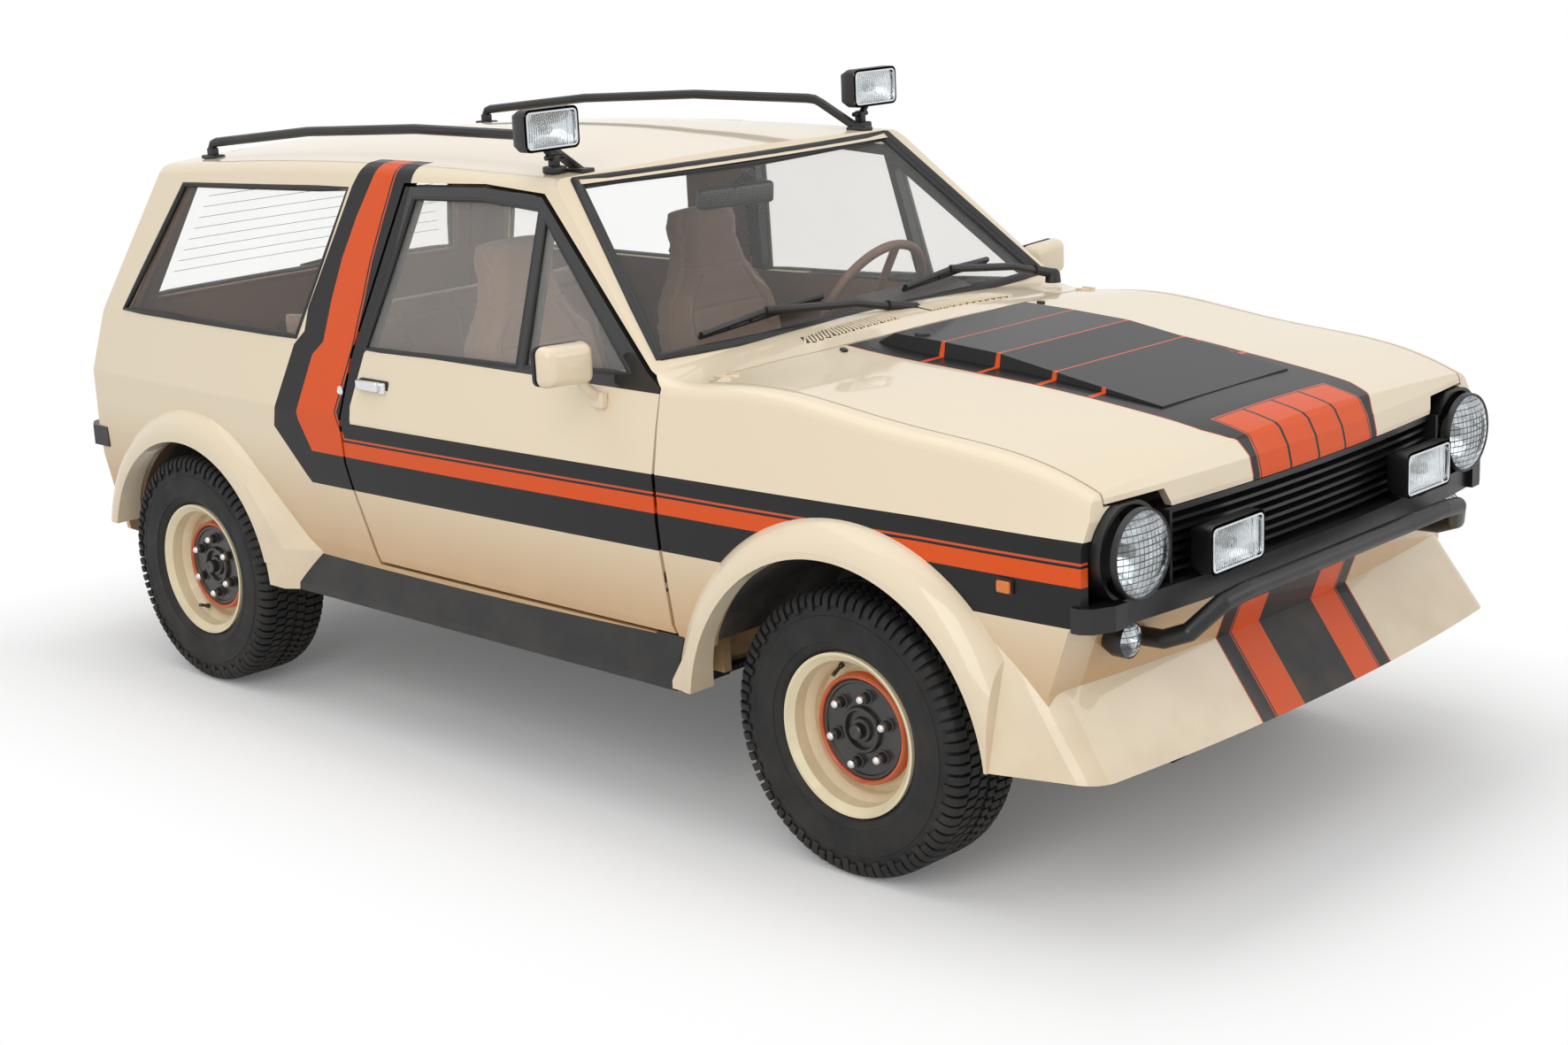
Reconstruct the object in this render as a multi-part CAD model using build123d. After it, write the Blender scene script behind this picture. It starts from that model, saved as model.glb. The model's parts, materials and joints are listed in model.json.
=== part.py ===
from build123d import *

import math
import os

# Raised three-door hatchback with wide wheel arches, a chin spoiler, roof rails and driving lamps.
#
# Frame while modelling: +X to the car's left, -Y forward, +Z up, front axle at y = 0, ground at z = 0.
# Each piece is moved on export so that the origin lies under the middle of the car's length.

# ---- stance (mm) ----
wheelbase = 2286.0
tyre_radius = 310.0
tyre_width = 200.0
rim_face_front = 736.0      # half track, measured at the outer rim edge
rim_face_rear = 784.0
tyre_bulge = 12.0           # tyre side past the rim edge
nose_reach = 750.0          # front axle to the push bar's front
tail_reach = 2905.0         # front axle to the rear bumper's back
middle = (tail_reach - nose_reach) / 2

# ---- walls and gaps ----
wall = 58.0                 # doors and side walls, trim included
frame_wall = 34.0           # window frames and pillars
skin = 16.0                 # bonnet, wings and valance
roof_wall = 26.0
tail_wall = 46.0
glass = 5.0
glass_recess = 9.0
panel_gap = 5.3
lid_gap = 8.0               # behind the bonnet's hinged edge
door_gap = 8.5
slip = 0.3                  # between soft or curved neighbours

# ---- heights ----
envelope_bottom = 285.0
sill_bottom = 345.0
door_bottom = 452.0
crease_low = 470.0
bulge_z = 640.0
crease_high = 800.0
gutter = 1376.0             # drip rail, where roof and side panels meet

# ---- half widths at the bulge line, front to rear ----
waist = ((-720.0, 728.0), (-600.0, 740.0), (-490.0, 747.0), (-300.0, 754.0), (0.0, 763.0),
         (300.0, 769.0), (560.0, 773.0), (1000.0, 777.0), (1550.0, 778.0), (2100.0, 773.0), (2900.0, 746.0))

# ---- front body ----
door_front = 515.0
wing_back = door_front - door_gap
bonnet_back = 330.0         # bonnet's rear edge on the centre line
bonnet_back_corner = 398.0
bonnet_half = 682.0
bonnet_half_nose = 664.0
nose_lip = 838.0            # bonnet's front lower edge
lamp_brow = 874.0           # bonnet's lower edge over the headlamps
brow_inner = 487.0
face_y = -658.0             # nose on the centre line
face_low = 640.0
face_half = 719.0
plan_radius = 5200.0        # plan curve of nose and windscreen
valance_bottom = 500.0
valance_half = 655.0

# ---- lamps ----
headlamp = (616.0, 775.0, 91.0)         # x, z, radius
foglamp = (608.0, 598.0, 35.0)
grille_spot = (365.0, 748.0, 186.0, 100.0)  # x, z, width, height
roof_spot = (558.0, 1506.0, 165.0, 97.0)
tail_lamp = (612.0, 726.0, 672.0, 852.0)    # x range, z range

# ---- arches ----
front_arch = (-22.0, 300.0, 404.0)      # y, z, opening radius
rear_arch = (wheelbase + 2.0, 302.0, 362.0)
flare_front = 812.0                     # half width over the flares
flare_rear = 816.0
front_lip = 482.0                       # radius where the flare meets the wing
rear_lip = 442.0
liner_wall = 6.0
front_liner_in = 392.0
rear_liner_in = 570.0

# ---- steering and wheels ----
ball_x, ball_z = 590.0, 205.0           # lower ball joint
strut_x, strut_z = 494.0, 672.0         # strut's upper end
strut_radius = 21.0
spindle_radius = 15.0
strut_pin = 10.0
ball_pin = 8.0
pin_play = 0.06
rim_outer = 177.0
rim_width = 176.0
rim_seat = 164.0
disc_depth = 54.0                       # wheel disc behind the rim's outer edge
hub_length = 58.0
axle_radius = 26.0
rail_front = -560.0
engine_back = 130.0
tow_hole = 12.0

# ---- hinges ----
door_hinge_x, door_hinge_y = 757.0, door_front + 20.0
door_hinge_z = (566.0, 752.0)
door_barrel, door_pin = 7.0, 3.5
post_out = 690.0            # outer face of the hinge pillar behind the wing
bonnet_hinge_x = 636.0
bonnet_hinge_y = bonnet_back_corner + 12.0
bonnet_hinge_z = 1010.0
tail_hinge_x = 330.0
tailgate_top = 1350.0
tailgate_bottom = 652.0
tail_hinge_y, tail_hinge_z = 2640.0, tailgate_top + 11.0
lid_pin = 3.0
lid_arm = 6.0
lid_lug = 14.0

# ---- cabin ----
floor_z = 330.0
tunnel_half, tunnel_height = 110.0, 110.0
boot_z = 470.0
boot_front = 1640.0
seat_x = 330.0
wheel_centre = (seat_x, 838.0, 985.0)
wheel_radius = 185.0
dash_half = 636.0
column_tilt = 28.0          # steering column above the horizontal


def side_at(y):
    """Half width of the body at the bulge line, by station."""
    for (y0, w0), (y1, w1) in zip(waist, waist[1:]):
        if y <= y1:
            return w0 + (w1 - w0) * (y - y0) / (y1 - y0)
    return waist[-1][1]


def prism(points, axis, near, far):
    """Prism of a closed outline: axis X takes (y, z) points, Y takes (x, z) and Z takes (x, y)."""
    face = make_face(Polyline(*points, close=True))
    if axis == "X":
        return extrude(Plane.YZ.offset(near) * face, far - near)
    if axis == "Y":
        return extrude(Plane.XZ.offset(-far) * face, far - near)
    return extrude(Plane.XY.offset(near) * face, far - near)


def block(x0, x1, y0, y1, z0, z1):
    return Pos((x0 + x1) / 2, (y0 + y1) / 2, (z0 + z1) / 2) * Box(abs(x1 - x0), abs(y1 - y0), abs(z1 - z0))


def both(shape):
    """A shape and its mirror image across the car's middle plane, as separate solids."""
    return Compound(children=[*shape.solids(), *mirror(shape, Plane.YZ).solids()])


def joined(shapes):
    """Pieces that make one solid."""
    first, *rest = shapes
    for shape in rest:
        first = first + shape
    return first


def rod(start, end, radius):
    start, end = Vector(*start), Vector(*end)
    length = (end - start).length
    return Plane(origin=start, z_dir=end - start) * Pos(0, 0, length / 2) * Cylinder(radius, length)


def revolved_band(points, centre_y):
    """Solid swept by a (y, z) outline round a vertical axis far behind the face."""
    face = Plane.YZ * make_face(Polyline(*points, close=True))
    axis = Axis((0, centre_y, 0), (0, 0, 1))
    half = revolve(face, axis, 12)
    return half + revolve(face, axis, -12)


# ---- body envelopes ----
def body_section(y, width, shoulder, crown, inset, roof=None):
    """Closed section at y. shoulder is the top of the side, roof adds the greenhouse above it."""
    points = [
        (width - 40 - inset, envelope_bottom, 0),
        (width - 8 - inset, crease_low, 20),
        (width - inset, bulge_z, 60),
        (width - 3 - inset, crease_high, 24),
    ]
    if roof:
        half, rail, frame_inset, top_inset = roof
        points.append((width - 54 - frame_inset - (inset - frame_inset) * 0.3, shoulder, 10))
        points.append((half - frame_inset, rail - top_inset, 42))
        top = crown - top_inset
    else:
        points.append((width - 44 - inset, shoulder - inset, max(36 - inset, 14)))
        top = crown - inset
    right = [(x, z) for x, z, _ in points]
    left = [(-x, z) for x, z, _ in reversed(points)]
    edges = [
        *Polyline(*right).edges(),
        ThreePointArc(right[-1], (0, top), left[0]).edge(),
        *Polyline(*left).edges(),
        Line(left[-1], right[0]).edge(),
    ]
    face = make_face(edges)
    for x, z, radius in points:
        if radius:
            corners = [v for v in face.vertices() if abs(abs(v.X) - x) < 0.1 and abs(v.Y - z) < 0.1]
            face = fillet(corners, radius)
    return Plane.XZ.offset(-y) * face


front_stations = ((-720, 838, 872), (-600, 892, 934), (-490, 930, 954), (-300, 958, 978),
                  (0, 988, 1006), (300, 1008, 1026), (560, 1022, 1040))
cabin_stations = ((400, 1012, 596, 1386, 1400), (1000, 990, 596, 1396, 1412), (1550, 968, 590, 1402, 1433),
                  (2100, 968, 582, 1388, 1420), (2900, 968, 562, 1340, 1364))


def front_envelope(inset):
    return loft([body_section(y, side_at(y), shoulder, crown, inset) for y, shoulder, crown in front_stations])


def cabin_envelope(inset, frame_inset, top_inset):
    return loft([
        body_section(y, side_at(y), belt, crown, inset, (half, rail, frame_inset, top_inset))
        for y, belt, half, rail, crown in cabin_stations
    ])


def nose_cut(inset):
    """Everything ahead of the nose surface, which is moved back by inset."""
    points = [
        (face_y + 88 + inset, 200), (face_y + 78 + inset, valance_bottom), (face_y + 26 + inset, face_low),
        (face_y + inset, 690), (face_y + inset, 848 - inset / 2), (face_y + 8 + inset, 884 - inset / 2),
        (face_y + 26 + inset, 918 - inset / 2), (face_y + 62 + inset, 946 - inset / 2),
        (face_y + 160 + inset, 1100), (face_y - 200, 1100), (face_y - 200, 200),
    ]
    return revolved_band(points, face_y + plan_radius)


screen_foot = (490.0, 1012.0)
screen_top = (940.0, 1403.0)


def screen_line(z, inset=0.0):
    """y of the windscreen surface on the centre line at height z, moved back by inset."""
    slope = (screen_top[0] - screen_foot[0]) / (screen_top[1] - screen_foot[1])
    return screen_foot[0] + (z - screen_foot[1]) * slope + inset * math.hypot(1, slope)


def screen_cut(inset):
    """Everything ahead of the windscreen surface."""
    points = [
        (screen_line(1000, inset), 200), (screen_line(1000, inset), 1000), (screen_line(1500, inset), 1500),
        (100, 1500), (100, 200),
    ]
    return revolved_band(points, screen_foot[0] + plan_radius)


tail_profile = ((2792.0, 420.0), (2836.0, 560.0), (2846.0, 800.0), (2832.0, 960.0), (2640.0, 1376.0))


def tail_cut(inset):
    """Everything behind the tail surface."""
    slant = (tail_profile[4][0] - tail_profile[3][0]) / (tail_profile[4][1] - tail_profile[3][1])
    points = [(3300, 200), (tail_profile[0][0] - inset, 200)]
    points += [(y - inset, z) for y, z in tail_profile]
    points += [(tail_profile[4][0] - inset + slant * 100, tail_profile[4][1] + 100), (3300, 1476)]
    return revolved_band(points, tail_profile[2][0] - plan_radius)


def arch_cylinder(arch, radius, x0, x1):
    return rod((x0, arch[0], arch[1]), (x1, arch[0], arch[1]), radius)


front_outer = front_envelope(0) - nose_cut(0)
front_inner = front_envelope(skin) - nose_cut(skin)
cabin_outer = cabin_envelope(0, 0, 0) - screen_cut(0) - tail_cut(0)
cabin_hollow = cabin_envelope(wall, frame_wall, roof_wall)
cabin_inner = cabin_hollow - screen_cut(roof_wall) - tail_cut(tail_wall)
front_shell = front_outer - front_inner
cabin_shell = cabin_outer - cabin_inner
door_front_cut = screen_cut(0) & block(-900, 900, 0, 1200, 1000, 1600)
side_shell = cabin_envelope(0, 0, 0) - door_front_cut - tail_cut(0) - cabin_hollow
tail_shell = cabin_outer & tail_cut(tail_wall)


# ---- outlines ----
def door_outline(grow):
    """Door edge in side view, grown outward all round by grow."""
    g = grow
    return [
        (door_front - g, 900), (door_front - 10 - g, 700), (door_front - 38 - g, crease_low),
        (door_front - 46 - g, door_bottom - g), (1500 + g, door_bottom - g), (1600 + g, 690), (1612 + g, 800),
        (1603 + g, 955), (1500 + g, 1356 + g), (1200, 1368 + g), (996 - g, 1356 + g), (558 - g, 1012 + g),
        (door_front - g, 985),
    ]


def door_windows(grow):
    """Opening quarter light and main window of the door."""
    g = grow
    light = [(612 - g * 2, 1004 - g), (974 + g, 1306 + g * 2), (964 + g, 984 - g)]
    main = [(986 - g, 982 - g), (998 - g, 1326 + g), (1200, 1340 + g), (1466 + g, 1330 + g), (1560 + g, 968 - g)]
    return light, main


def quarter_window(grow):
    g = grow
    return [(1846 - g, 972 - g), (1732 - g, 1338 + g), (2490 + g, 1312 + g), (2672 + g, 972 - g)]


def screen_opening(grow):
    """Windscreen edge in front view."""
    g = grow
    return [(-678 - g, 1032 - g), (-542 - g, 1380 + g), (542 + g, 1380 + g), (678 + g, 1032 - g)]


def tailgate_outline(grow):
    g = grow
    return [
        (-566 - g, tailgate_bottom - g), (-596 - g, 930), (-500 - g, tailgate_top + g),
        (500 + g, tailgate_top + g), (596 + g, 930), (566 + g, tailgate_bottom - g),
    ]


def tail_window(grow):
    g = grow
    return [(-548 - g, 975 - g), (-462 - g, 1296 + g), (462 + g, 1296 + g), (548 + g, 975 - g)]


def bonnet_outline(grow, back_grow):
    """Bonnet edge from above, from the nose to the bowed rear edge."""
    g, b = grow, back_grow
    nose = face_y - 60
    return [
        (-bonnet_half_nose - g, nose), (-bonnet_half - g, bonnet_back_corner - 1),
        (-bonnet_half - g, bonnet_back_corner + b), (-600, bonnet_back_corner + b),
        (-400, bonnet_back + 24 + b), (-200, bonnet_back + 6 + b), (200, bonnet_back + 6 + b),
        (400, bonnet_back + 24 + b), (600, bonnet_back_corner + b), (bonnet_half + g, bonnet_back_corner + b),
        (bonnet_half + g, bonnet_back_corner - 1),
        (bonnet_half_nose + g, nose),
    ]


def bonnet_front(grow):
    """What lies above the bonnet's lower edge, seen from the front."""
    g = grow
    return [
        (-brow_inner - g, nose_lip - g), (-brow_inner - 16 - g, lamp_brow - g), (-790, lamp_brow - g), (-790, 1100),
        (790, 1100), (790, lamp_brow - g), (brow_inner + 16 + g, lamp_brow - g), (brow_inner + g, nose_lip - g),
    ]


def bonnet_keep(grow, back_grow):
    return prism(bonnet_outline(grow, back_grow), "Z", 700, 1100) & prism(
        bonnet_front(grow), "Y", face_y - 60, bonnet_back_corner + 300
    )


def lid_hinge_x(x):
    """Middles of the two moving arms beside the lug at x."""
    reach = lid_lug / 2 + lid_arm / 2 + 3
    return x - reach, x + reach


# ---- bonnet, wings and nose ----
def make_bonnet():
    panel = front_shell & bonnet_keep(0, 0)
    low = [(-264, bonnet_back), (-258, -20), (-236, -440), (236, -440), (258, -20), (264, bonnet_back)]
    top = [(-232, bonnet_back), (-228, -20), (-220, -430), (220, -430), (228, -20), (232, bonnet_back)]
    bulge = loft([
        Plane.XY.offset(930) * make_face(Polyline(*low, close=True)),
        Plane.XY.offset(1060) * make_face(Polyline(*top, close=True)),
    ])
    lid = [(-440, 900), (-440, 962), (-20, 1032), (140, 1043), (272, 1049), (bonnet_back - 4, 1020),
           (bonnet_back - 4, 900)]
    panel = panel + ((bulge & prism(lid, "X", -300, 300)) - front_inner)
    for side in (-1, 1):
        for x in lid_hinge_x(side * bonnet_hinge_x):
            panel = panel + block(x - lid_arm / 2, x + lid_arm / 2, bonnet_back_corner - 20,
                                  bonnet_hinge_y + 5, bonnet_hinge_z - 5, bonnet_hinge_z + 5)
        near, far = lid_hinge_x(side * bonnet_hinge_x)
        panel = panel + rod((near, bonnet_hinge_y, bonnet_hinge_z), (far, bonnet_hinge_y, bonnet_hinge_z), lid_pin)
    return panel


def make_wing():
    """Left front wing."""
    x, z, radius = headlamp
    wing = block(0, 800, face_y - 10, wing_back, crease_low - 30, 1100) + block(600, 800, 400, 540, 940, 1100)
    wing = front_shell & wing
    wing = wing - bonnet_keep(panel_gap, 200)
    wing = wing - block(-10, valance_half, face_y - 20, -300, 200, face_low)
    wing = wing - rod((x, face_y - 20, z), (x, -480, z), radius + 10)
    wing = wing - block(-10, x, face_y - 20, -480, face_low - 10, lamp_brow)
    wing = wing - block(-10, face_half, face_y - 20, -480, face_low - 10, z)
    wing = wing - arch_cylinder(front_arch, front_arch[2] + 6, 300, 900)
    return wing - prism(door_outline(door_gap), "X", 600, 900)


def make_valance():
    strip = block(-valance_half, valance_half, face_y - 10, -300, valance_bottom, face_low)
    return front_shell & strip


def skirt_block(inset):
    """Wedge whose faces slope out from the valance and the wings to the chin edge."""
    def level(z, front, corner_x, corner_y, side_x, side_y):
        back = -300
        points = [(-side_x, back), (-side_x, side_y), (-corner_x, corner_y)]
        left = Polyline(*points)
        right = Polyline(*[(-x, y) for x, y in reversed(points)])
        nose = ThreePointArc(points[-1], (0, front), (corner_x, corner_y))
        rear = Line((side_x, back), (-side_x, back))
        face = make_face([*left.edges(), nose.edge(), *right.edges(), rear.edge()])
        corners = [v for v in face.vertices() if abs(v.Y - corner_y) < 0.1]
        return Plane.XY.offset(z) * fillet(corners, 70 - inset)
    top = level(660, -470 + inset, 727 - inset, -410 + inset, 742 - inset, -366)
    low = level(sill_bottom, -692 + inset, 742 - inset, -648 + inset, 806 - inset, -430)
    return loft([top, low], ruled=True)


def arch_ring(arch, half_width, lip, start):
    """Round flare about the left wheel arch, from the body side out to half_width."""
    y, z, radius = arch
    edge = radius + 14
    outer = ThreePointArc((start, lip), ((start + half_width) / 2 + 8, (lip + edge) / 2 + 10), (half_width, edge))
    edges = [
        outer.edge(), Line((half_width, edge), (half_width, radius)).edge(),
        Line((half_width, radius), (start - 40, radius)).edge(), Line((start - 40, radius), (start - 40, lip)).edge(),
        Line((start - 40, lip), (start, lip)).edge(),
    ]
    face = Plane(origin=(0, y, z), x_dir=(1, 0, 0), z_dir=(0, -1, 0)) * make_face(edges)
    return revolve(face, Axis((0, y, z), (1, 0, 0)), 360)


def flare_foot(inner_points, outer_points, inner_x, outer_x):
    """Foot of a flare: its face slopes out from the body to the arch edge."""
    inner = Plane.YZ.offset(inner_x) * make_face(Polyline(*inner_points, close=True))
    outer = Plane.YZ.offset(outer_x) * make_face(Polyline(*outer_points, close=True))
    return loft([inner, outer], ruled=True)


def make_front_skirt():
    """Chin spoiler and both front flares in one moulding."""
    radius = front_arch[2]
    ring = arch_ring(front_arch, flare_front, front_lip, 752) & block(600, 900, -430, 460, sill_bottom, 900)
    foot = flare_foot(
        [(250, 650), (390, 520), (508, 356), (508, sill_bottom), (300, sill_bottom)],
        [(300, 560), (372, 470), (440, 362), (440, sill_bottom), (330, sill_bottom)], 730, 806)
    skirt = skirt_block(0) - skirt_block(14)
    skirt = skirt + ring + mirror(ring, Plane.YZ) + foot + mirror(foot, Plane.YZ)
    skirt = skirt - arch_cylinder(front_arch, radius, -900, 900)
    skirt = skirt - front_outer - cabin_outer
    skirt = skirt - block(-700, 700, -500, 700, 0, 900)
    return skirt & block(-900, 900, -800, 600, sill_bottom, 900)


def make_rear_flare():
    """Left rear flare with its forward foot."""
    radius = rear_arch[2]
    y = rear_arch[0]
    ring = arch_ring(rear_arch, flare_rear, rear_lip, 764) & block(600, 900, y - 460, y + 460, 392, 900)
    foot = flare_foot(
        [(1960, 640), (1860, 562), (1700, 440), (1748, sill_bottom - 12), (2040, sill_bottom - 12)],
        [(2000, 590), (1930, 520), (1856, 440), (1862, sill_bottom - 12), (2040, sill_bottom - 12)], 740, 812)
    flare = ring + foot
    flare = flare - arch_cylinder(rear_arch, radius, 500, 900)
    return flare - cabin_outer


# ---- cabin panels ----
def arch_openings():
    y = front_arch[0]
    return joined([
        arch_cylinder(rear_arch, rear_arch[2] + 6, -900, 900),
        arch_cylinder((y, front_arch[1]), front_arch[2] + 6, -900, 900),
    ])


def make_door():
    """Left door: panel, frame and the pins of its two hinges."""
    door = side_shell & prism(door_outline(0), "X", 560, 900)
    for outline in door_windows(0):
        door = door - prism(outline, "X", 400, 900)
    door = door - prism(screen_opening(door_gap), "Y", 300, 640)
    for z in door_hinge_z:
        pocket = block(door_hinge_x - wall, door_hinge_x + door_barrel + 1.5, door_front - 60,
                       door_hinge_y + door_barrel + 6, z - 22, z + 22)
        door = door - pocket
        door = door + rod((door_hinge_x, door_hinge_y, z - 24), (door_hinge_x, door_hinge_y, z + 24), door_pin)
    return door


def roof_keep():
    """Everything above the drip rails."""
    return prism([(700, gutter), (1250, gutter + 8), (1600, gutter + 6), (2100, gutter - 8), (2700, gutter - 44),
                  (2700, 1500), (700, 1500)], "X", -900, 900)


def lid_slots(x, y, z, depth):
    """Slots for the two moving arms of a lid hinge, and the bore of its pin."""
    near, far = lid_hinge_x(x)
    slot = joined([block(a - lid_arm / 2 - 3, a + lid_arm / 2 + 3, y - depth, y + 11, z - 30, z + 30)
                   for a in (near, far)])
    return slot, rod((near, y, z), (far, y, z), lid_pin + pin_play)


def tailgate_space():
    return prism(tailgate_outline(lid_gap), "Y", 2400, 2900) & tail_cut(tail_wall + lid_gap)


def make_roof():
    roof = cabin_shell & roof_keep()
    roof = roof - prism(screen_opening(0), "Y", 300, 1060)
    roof = roof - tailgate_space()
    for side in (-1, 1):
        slot, bore = lid_slots(side * tail_hinge_x, tail_hinge_y, tail_hinge_z, 40)
        roof = roof - slot - bore
    return roof


def make_side_panel(wing, scuttle):
    """Left body side: pillars, rear quarter and sill, with the hinge straps of the door."""
    side = cabin_shell & block(0, 900, wing_back, 2900, sill_bottom, 1500)
    side = side - roof_keep()
    side = side - prism(door_outline(door_gap), "X", 400, 900)
    side = side - prism(quarter_window(0), "X", 400, 900)
    side = side - prism(screen_opening(0), "Y", 300, 1060)
    side = side - block(-10, 640, 400, 700, 200, 1200)
    side = side - tailgate_space()
    side = side - block(-10, 640, 2500, 2900, 200, tailgate_bottom + 20)
    side = side - arch_openings()
    x0, x1, z0, z1 = tail_lamp
    side = side - block(x0, x1, 2770, 2900, z0, z1)
    post = block(640, post_out, 424, 545, 620, 880) + block(640, post_out - 28, 424, 545, sill_bottom, 1000)
    side = side - wing + (post - wing - scuttle)
    for z in door_hinge_z:
        x, y = door_hinge_x, door_hinge_y
        strap = prism([(650, y - 46), (650, y - 32), (x - 2, y + 5), (x + 2, y - 5)], "Z", z - 14, z + 14)
        strap = strap + Pos(x, y, z) * Cylinder(door_barrel, 28)
        side = side + strap - Pos(x, y, z) * Cylinder(door_pin + pin_play, 60)
    return side


def make_scuttle():
    """Cowl panel between bonnet and windscreen, and the bulkhead below it."""
    cowl = front_shell & bonnet_keep(panel_gap, 200)
    cowl = (cowl & screen_cut(0)) - bonnet_keep(60, lid_gap)
    bulkhead = cabin_shell & block(-640, 640, 440, 600, floor_z - 20, 1032)
    bulkhead = bulkhead - block(-tunnel_half, tunnel_half, 400, 600, 200, floor_z + tunnel_height)
    door_space = prism(door_outline(door_gap), "X", 560, 900)
    cowl = cowl + bulkhead - door_space - mirror(door_space, Plane.YZ)
    for side in (-1, 1):
        slot, bore = lid_slots(side * bonnet_hinge_x, bonnet_hinge_y, bonnet_hinge_z, 60)
        cowl = cowl - slot - bore
    return cowl


def make_tailgate():
    """Tailgate with the arms and pins of its two hinges."""
    gate = tail_shell & prism(tailgate_outline(0), "Y", 2400, 2900)
    gate = gate - prism(tail_window(0), "Y", 2400, 2950)
    for side in (-1, 1):
        near, far = lid_hinge_x(side * tail_hinge_x)
        for x in (near, far):
            gate = gate + block(x - lid_arm / 2, x + lid_arm / 2, tail_hinge_y - 22, tail_hinge_y + 5,
                                tailgate_top - 14, tail_hinge_z + 5)
        gate = gate + rod((near, tail_hinge_y, tail_hinge_z), (far, tail_hinge_y, tail_hinge_z), lid_pin)
    return gate


def make_rear_panel():
    """Panel below the tailgate."""
    return cabin_shell & block(-640, 640, 2600, 2900, 420, tailgate_bottom - panel_gap)


# ---- glass ----
def make_side_glass():
    outer = cabin_envelope(glass_recess, glass_recess, glass_recess)
    inner = cabin_envelope(glass_recess + glass, glass_recess + glass, glass_recess + glass)
    layer = (outer - inner) & block(300, 900, 500, 2760, 900, 1380)
    door_panes = [layer & prism(outline, "X", 300, 900) for outline in door_windows(0)]
    return door_panes, layer & prism(quarter_window(0), "X", 300, 900)


def make_windscreen():
    top = 1500
    band = [
        (screen_line(1000, glass_recess), 1000), (screen_line(1000, glass_recess + glass), 1000),
        (screen_line(top, glass_recess + glass), top), (screen_line(top, glass_recess), top),
    ]
    return revolved_band(band, screen_foot[0] + plan_radius) & prism(screen_opening(0), "Y", 300, 1060)


def make_tail_glass():
    (y0, z0), (y1, z1) = tail_profile[3], tail_profile[4]
    band = [(tail_profile[2][0] - glass_recess, 800), (y0 - glass_recess, z0), (y1 - glass_recess, z1),
            (y1 - glass_recess - glass, z1), (y0 - glass_recess - glass, z0),
            (tail_profile[2][0] - glass_recess - glass, 800)]
    return revolved_band(band, tail_profile[2][0] - plan_radius) & prism(tail_window(0), "Y", 2400, 2950)


# ---- under the body ----
def make_floor(scuttle, rear_panel):
    """Floor pan, tunnel, raised boot floor, sills and the two front frame rails with their towing holes."""
    thick = 12.0
    front, back = 478.0, 2790.0
    half, top = tunnel_half, floor_z + tunnel_height
    pan = block(-655, 655, front, boot_front, floor_z - thick, floor_z)
    riser = block(-655, 655, boot_front - thick, boot_front, floor_z - thick, boot_z)
    boot = block(-rear_liner_in, rear_liner_in, boot_front - thick, back, boot_z - thick, boot_z)
    tunnel = block(-half, half, front, boot_front, floor_z, top)
    hollow = block(-half + thick, half - thick, front - 1, boot_front - thick, floor_z - thick - 1, top - thick)
    floor = joined([pan, riser, boot, tunnel]) - hollow
    for side in (-1, 1):
        floor = floor + block(side * 330, side * 380, rail_front, front + 40, floor_z - 60, floor_z - thick)
        floor = floor + block(side * 600, side * 700, 470, 1720, floor_z - thick, sill_bottom)
    floor = floor - block(-400, 400, -30, 30, floor_z - 46, floor_z)
    floor = floor - across(tow_hole, -500, 500, rail_front + 24, floor_z - 36)
    return floor - scuttle - rear_panel


def make_front_liner():
    """Left inner arch with the strut tower in its roof."""
    y, z, radius = front_arch
    drum = arch_cylinder(front_arch, radius + liner_wall, front_liner_in, 800)
    drum = drum - arch_cylinder(front_arch, radius, front_liner_in + liner_wall, 900)
    drum = (drum - front_shell) & front_outer & block(0, 900, y - 900, y + 900, 455, 1000)
    tower = block(strut_x - 45, strut_x + 30, -36, 36, strut_z + 12, z + radius + liner_wall + 22)
    top = strut_point(1.15)
    return drum + tower - rod(strut_point(0.9), top, strut_pin + pin_play)


def make_rear_liner():
    y, z, radius = rear_arch
    drum = arch_cylinder(rear_arch, radius + liner_wall, rear_liner_in, 724)
    drum = drum - arch_cylinder(rear_arch, radius, rear_liner_in + liner_wall, 900)
    drum = drum & block(0, 900, y - 900, y + 900, boot_z - 12, 1000)
    return drum - cabin_shell


def strut_point(share):
    """Point on the left steering axis: 0 at the ball joint, 1 at the strut's upper end."""
    return (ball_x + (strut_x - ball_x) * share, 0.0, ball_z + (strut_z - ball_z) * share)


def make_knuckle():
    """Left knuckle with strut, spindle, backing plate and steering arm."""
    face = rim_face_front - disc_depth
    axis_x = ball_x + (strut_x - ball_x) * (tyre_radius - ball_z) / (strut_z - ball_z)
    pieces = [
        rod(strut_point(0.04), strut_point(1), strut_radius),
        rod(strut_point(-0.08), strut_point(0.1), ball_pin),
        rod(strut_point(0.9), strut_point(1.1), strut_pin),
        across(34, axis_x, face - hub_length - 6, 0, tyre_radius),
        across(112, face - hub_length - 22, face - hub_length - 12, 0, tyre_radius),
        across(spindle_radius, axis_x, face + 6, 0, tyre_radius),
        rod((axis_x + 6, 0, 262), (axis_x - 6, 112, 262), 9),
    ]
    return joined(pieces)


def across(radius, x0, x1, y, z):
    """Round bar along X."""
    return rod((x0, y, z), (x1, y, z), radius)


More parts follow.
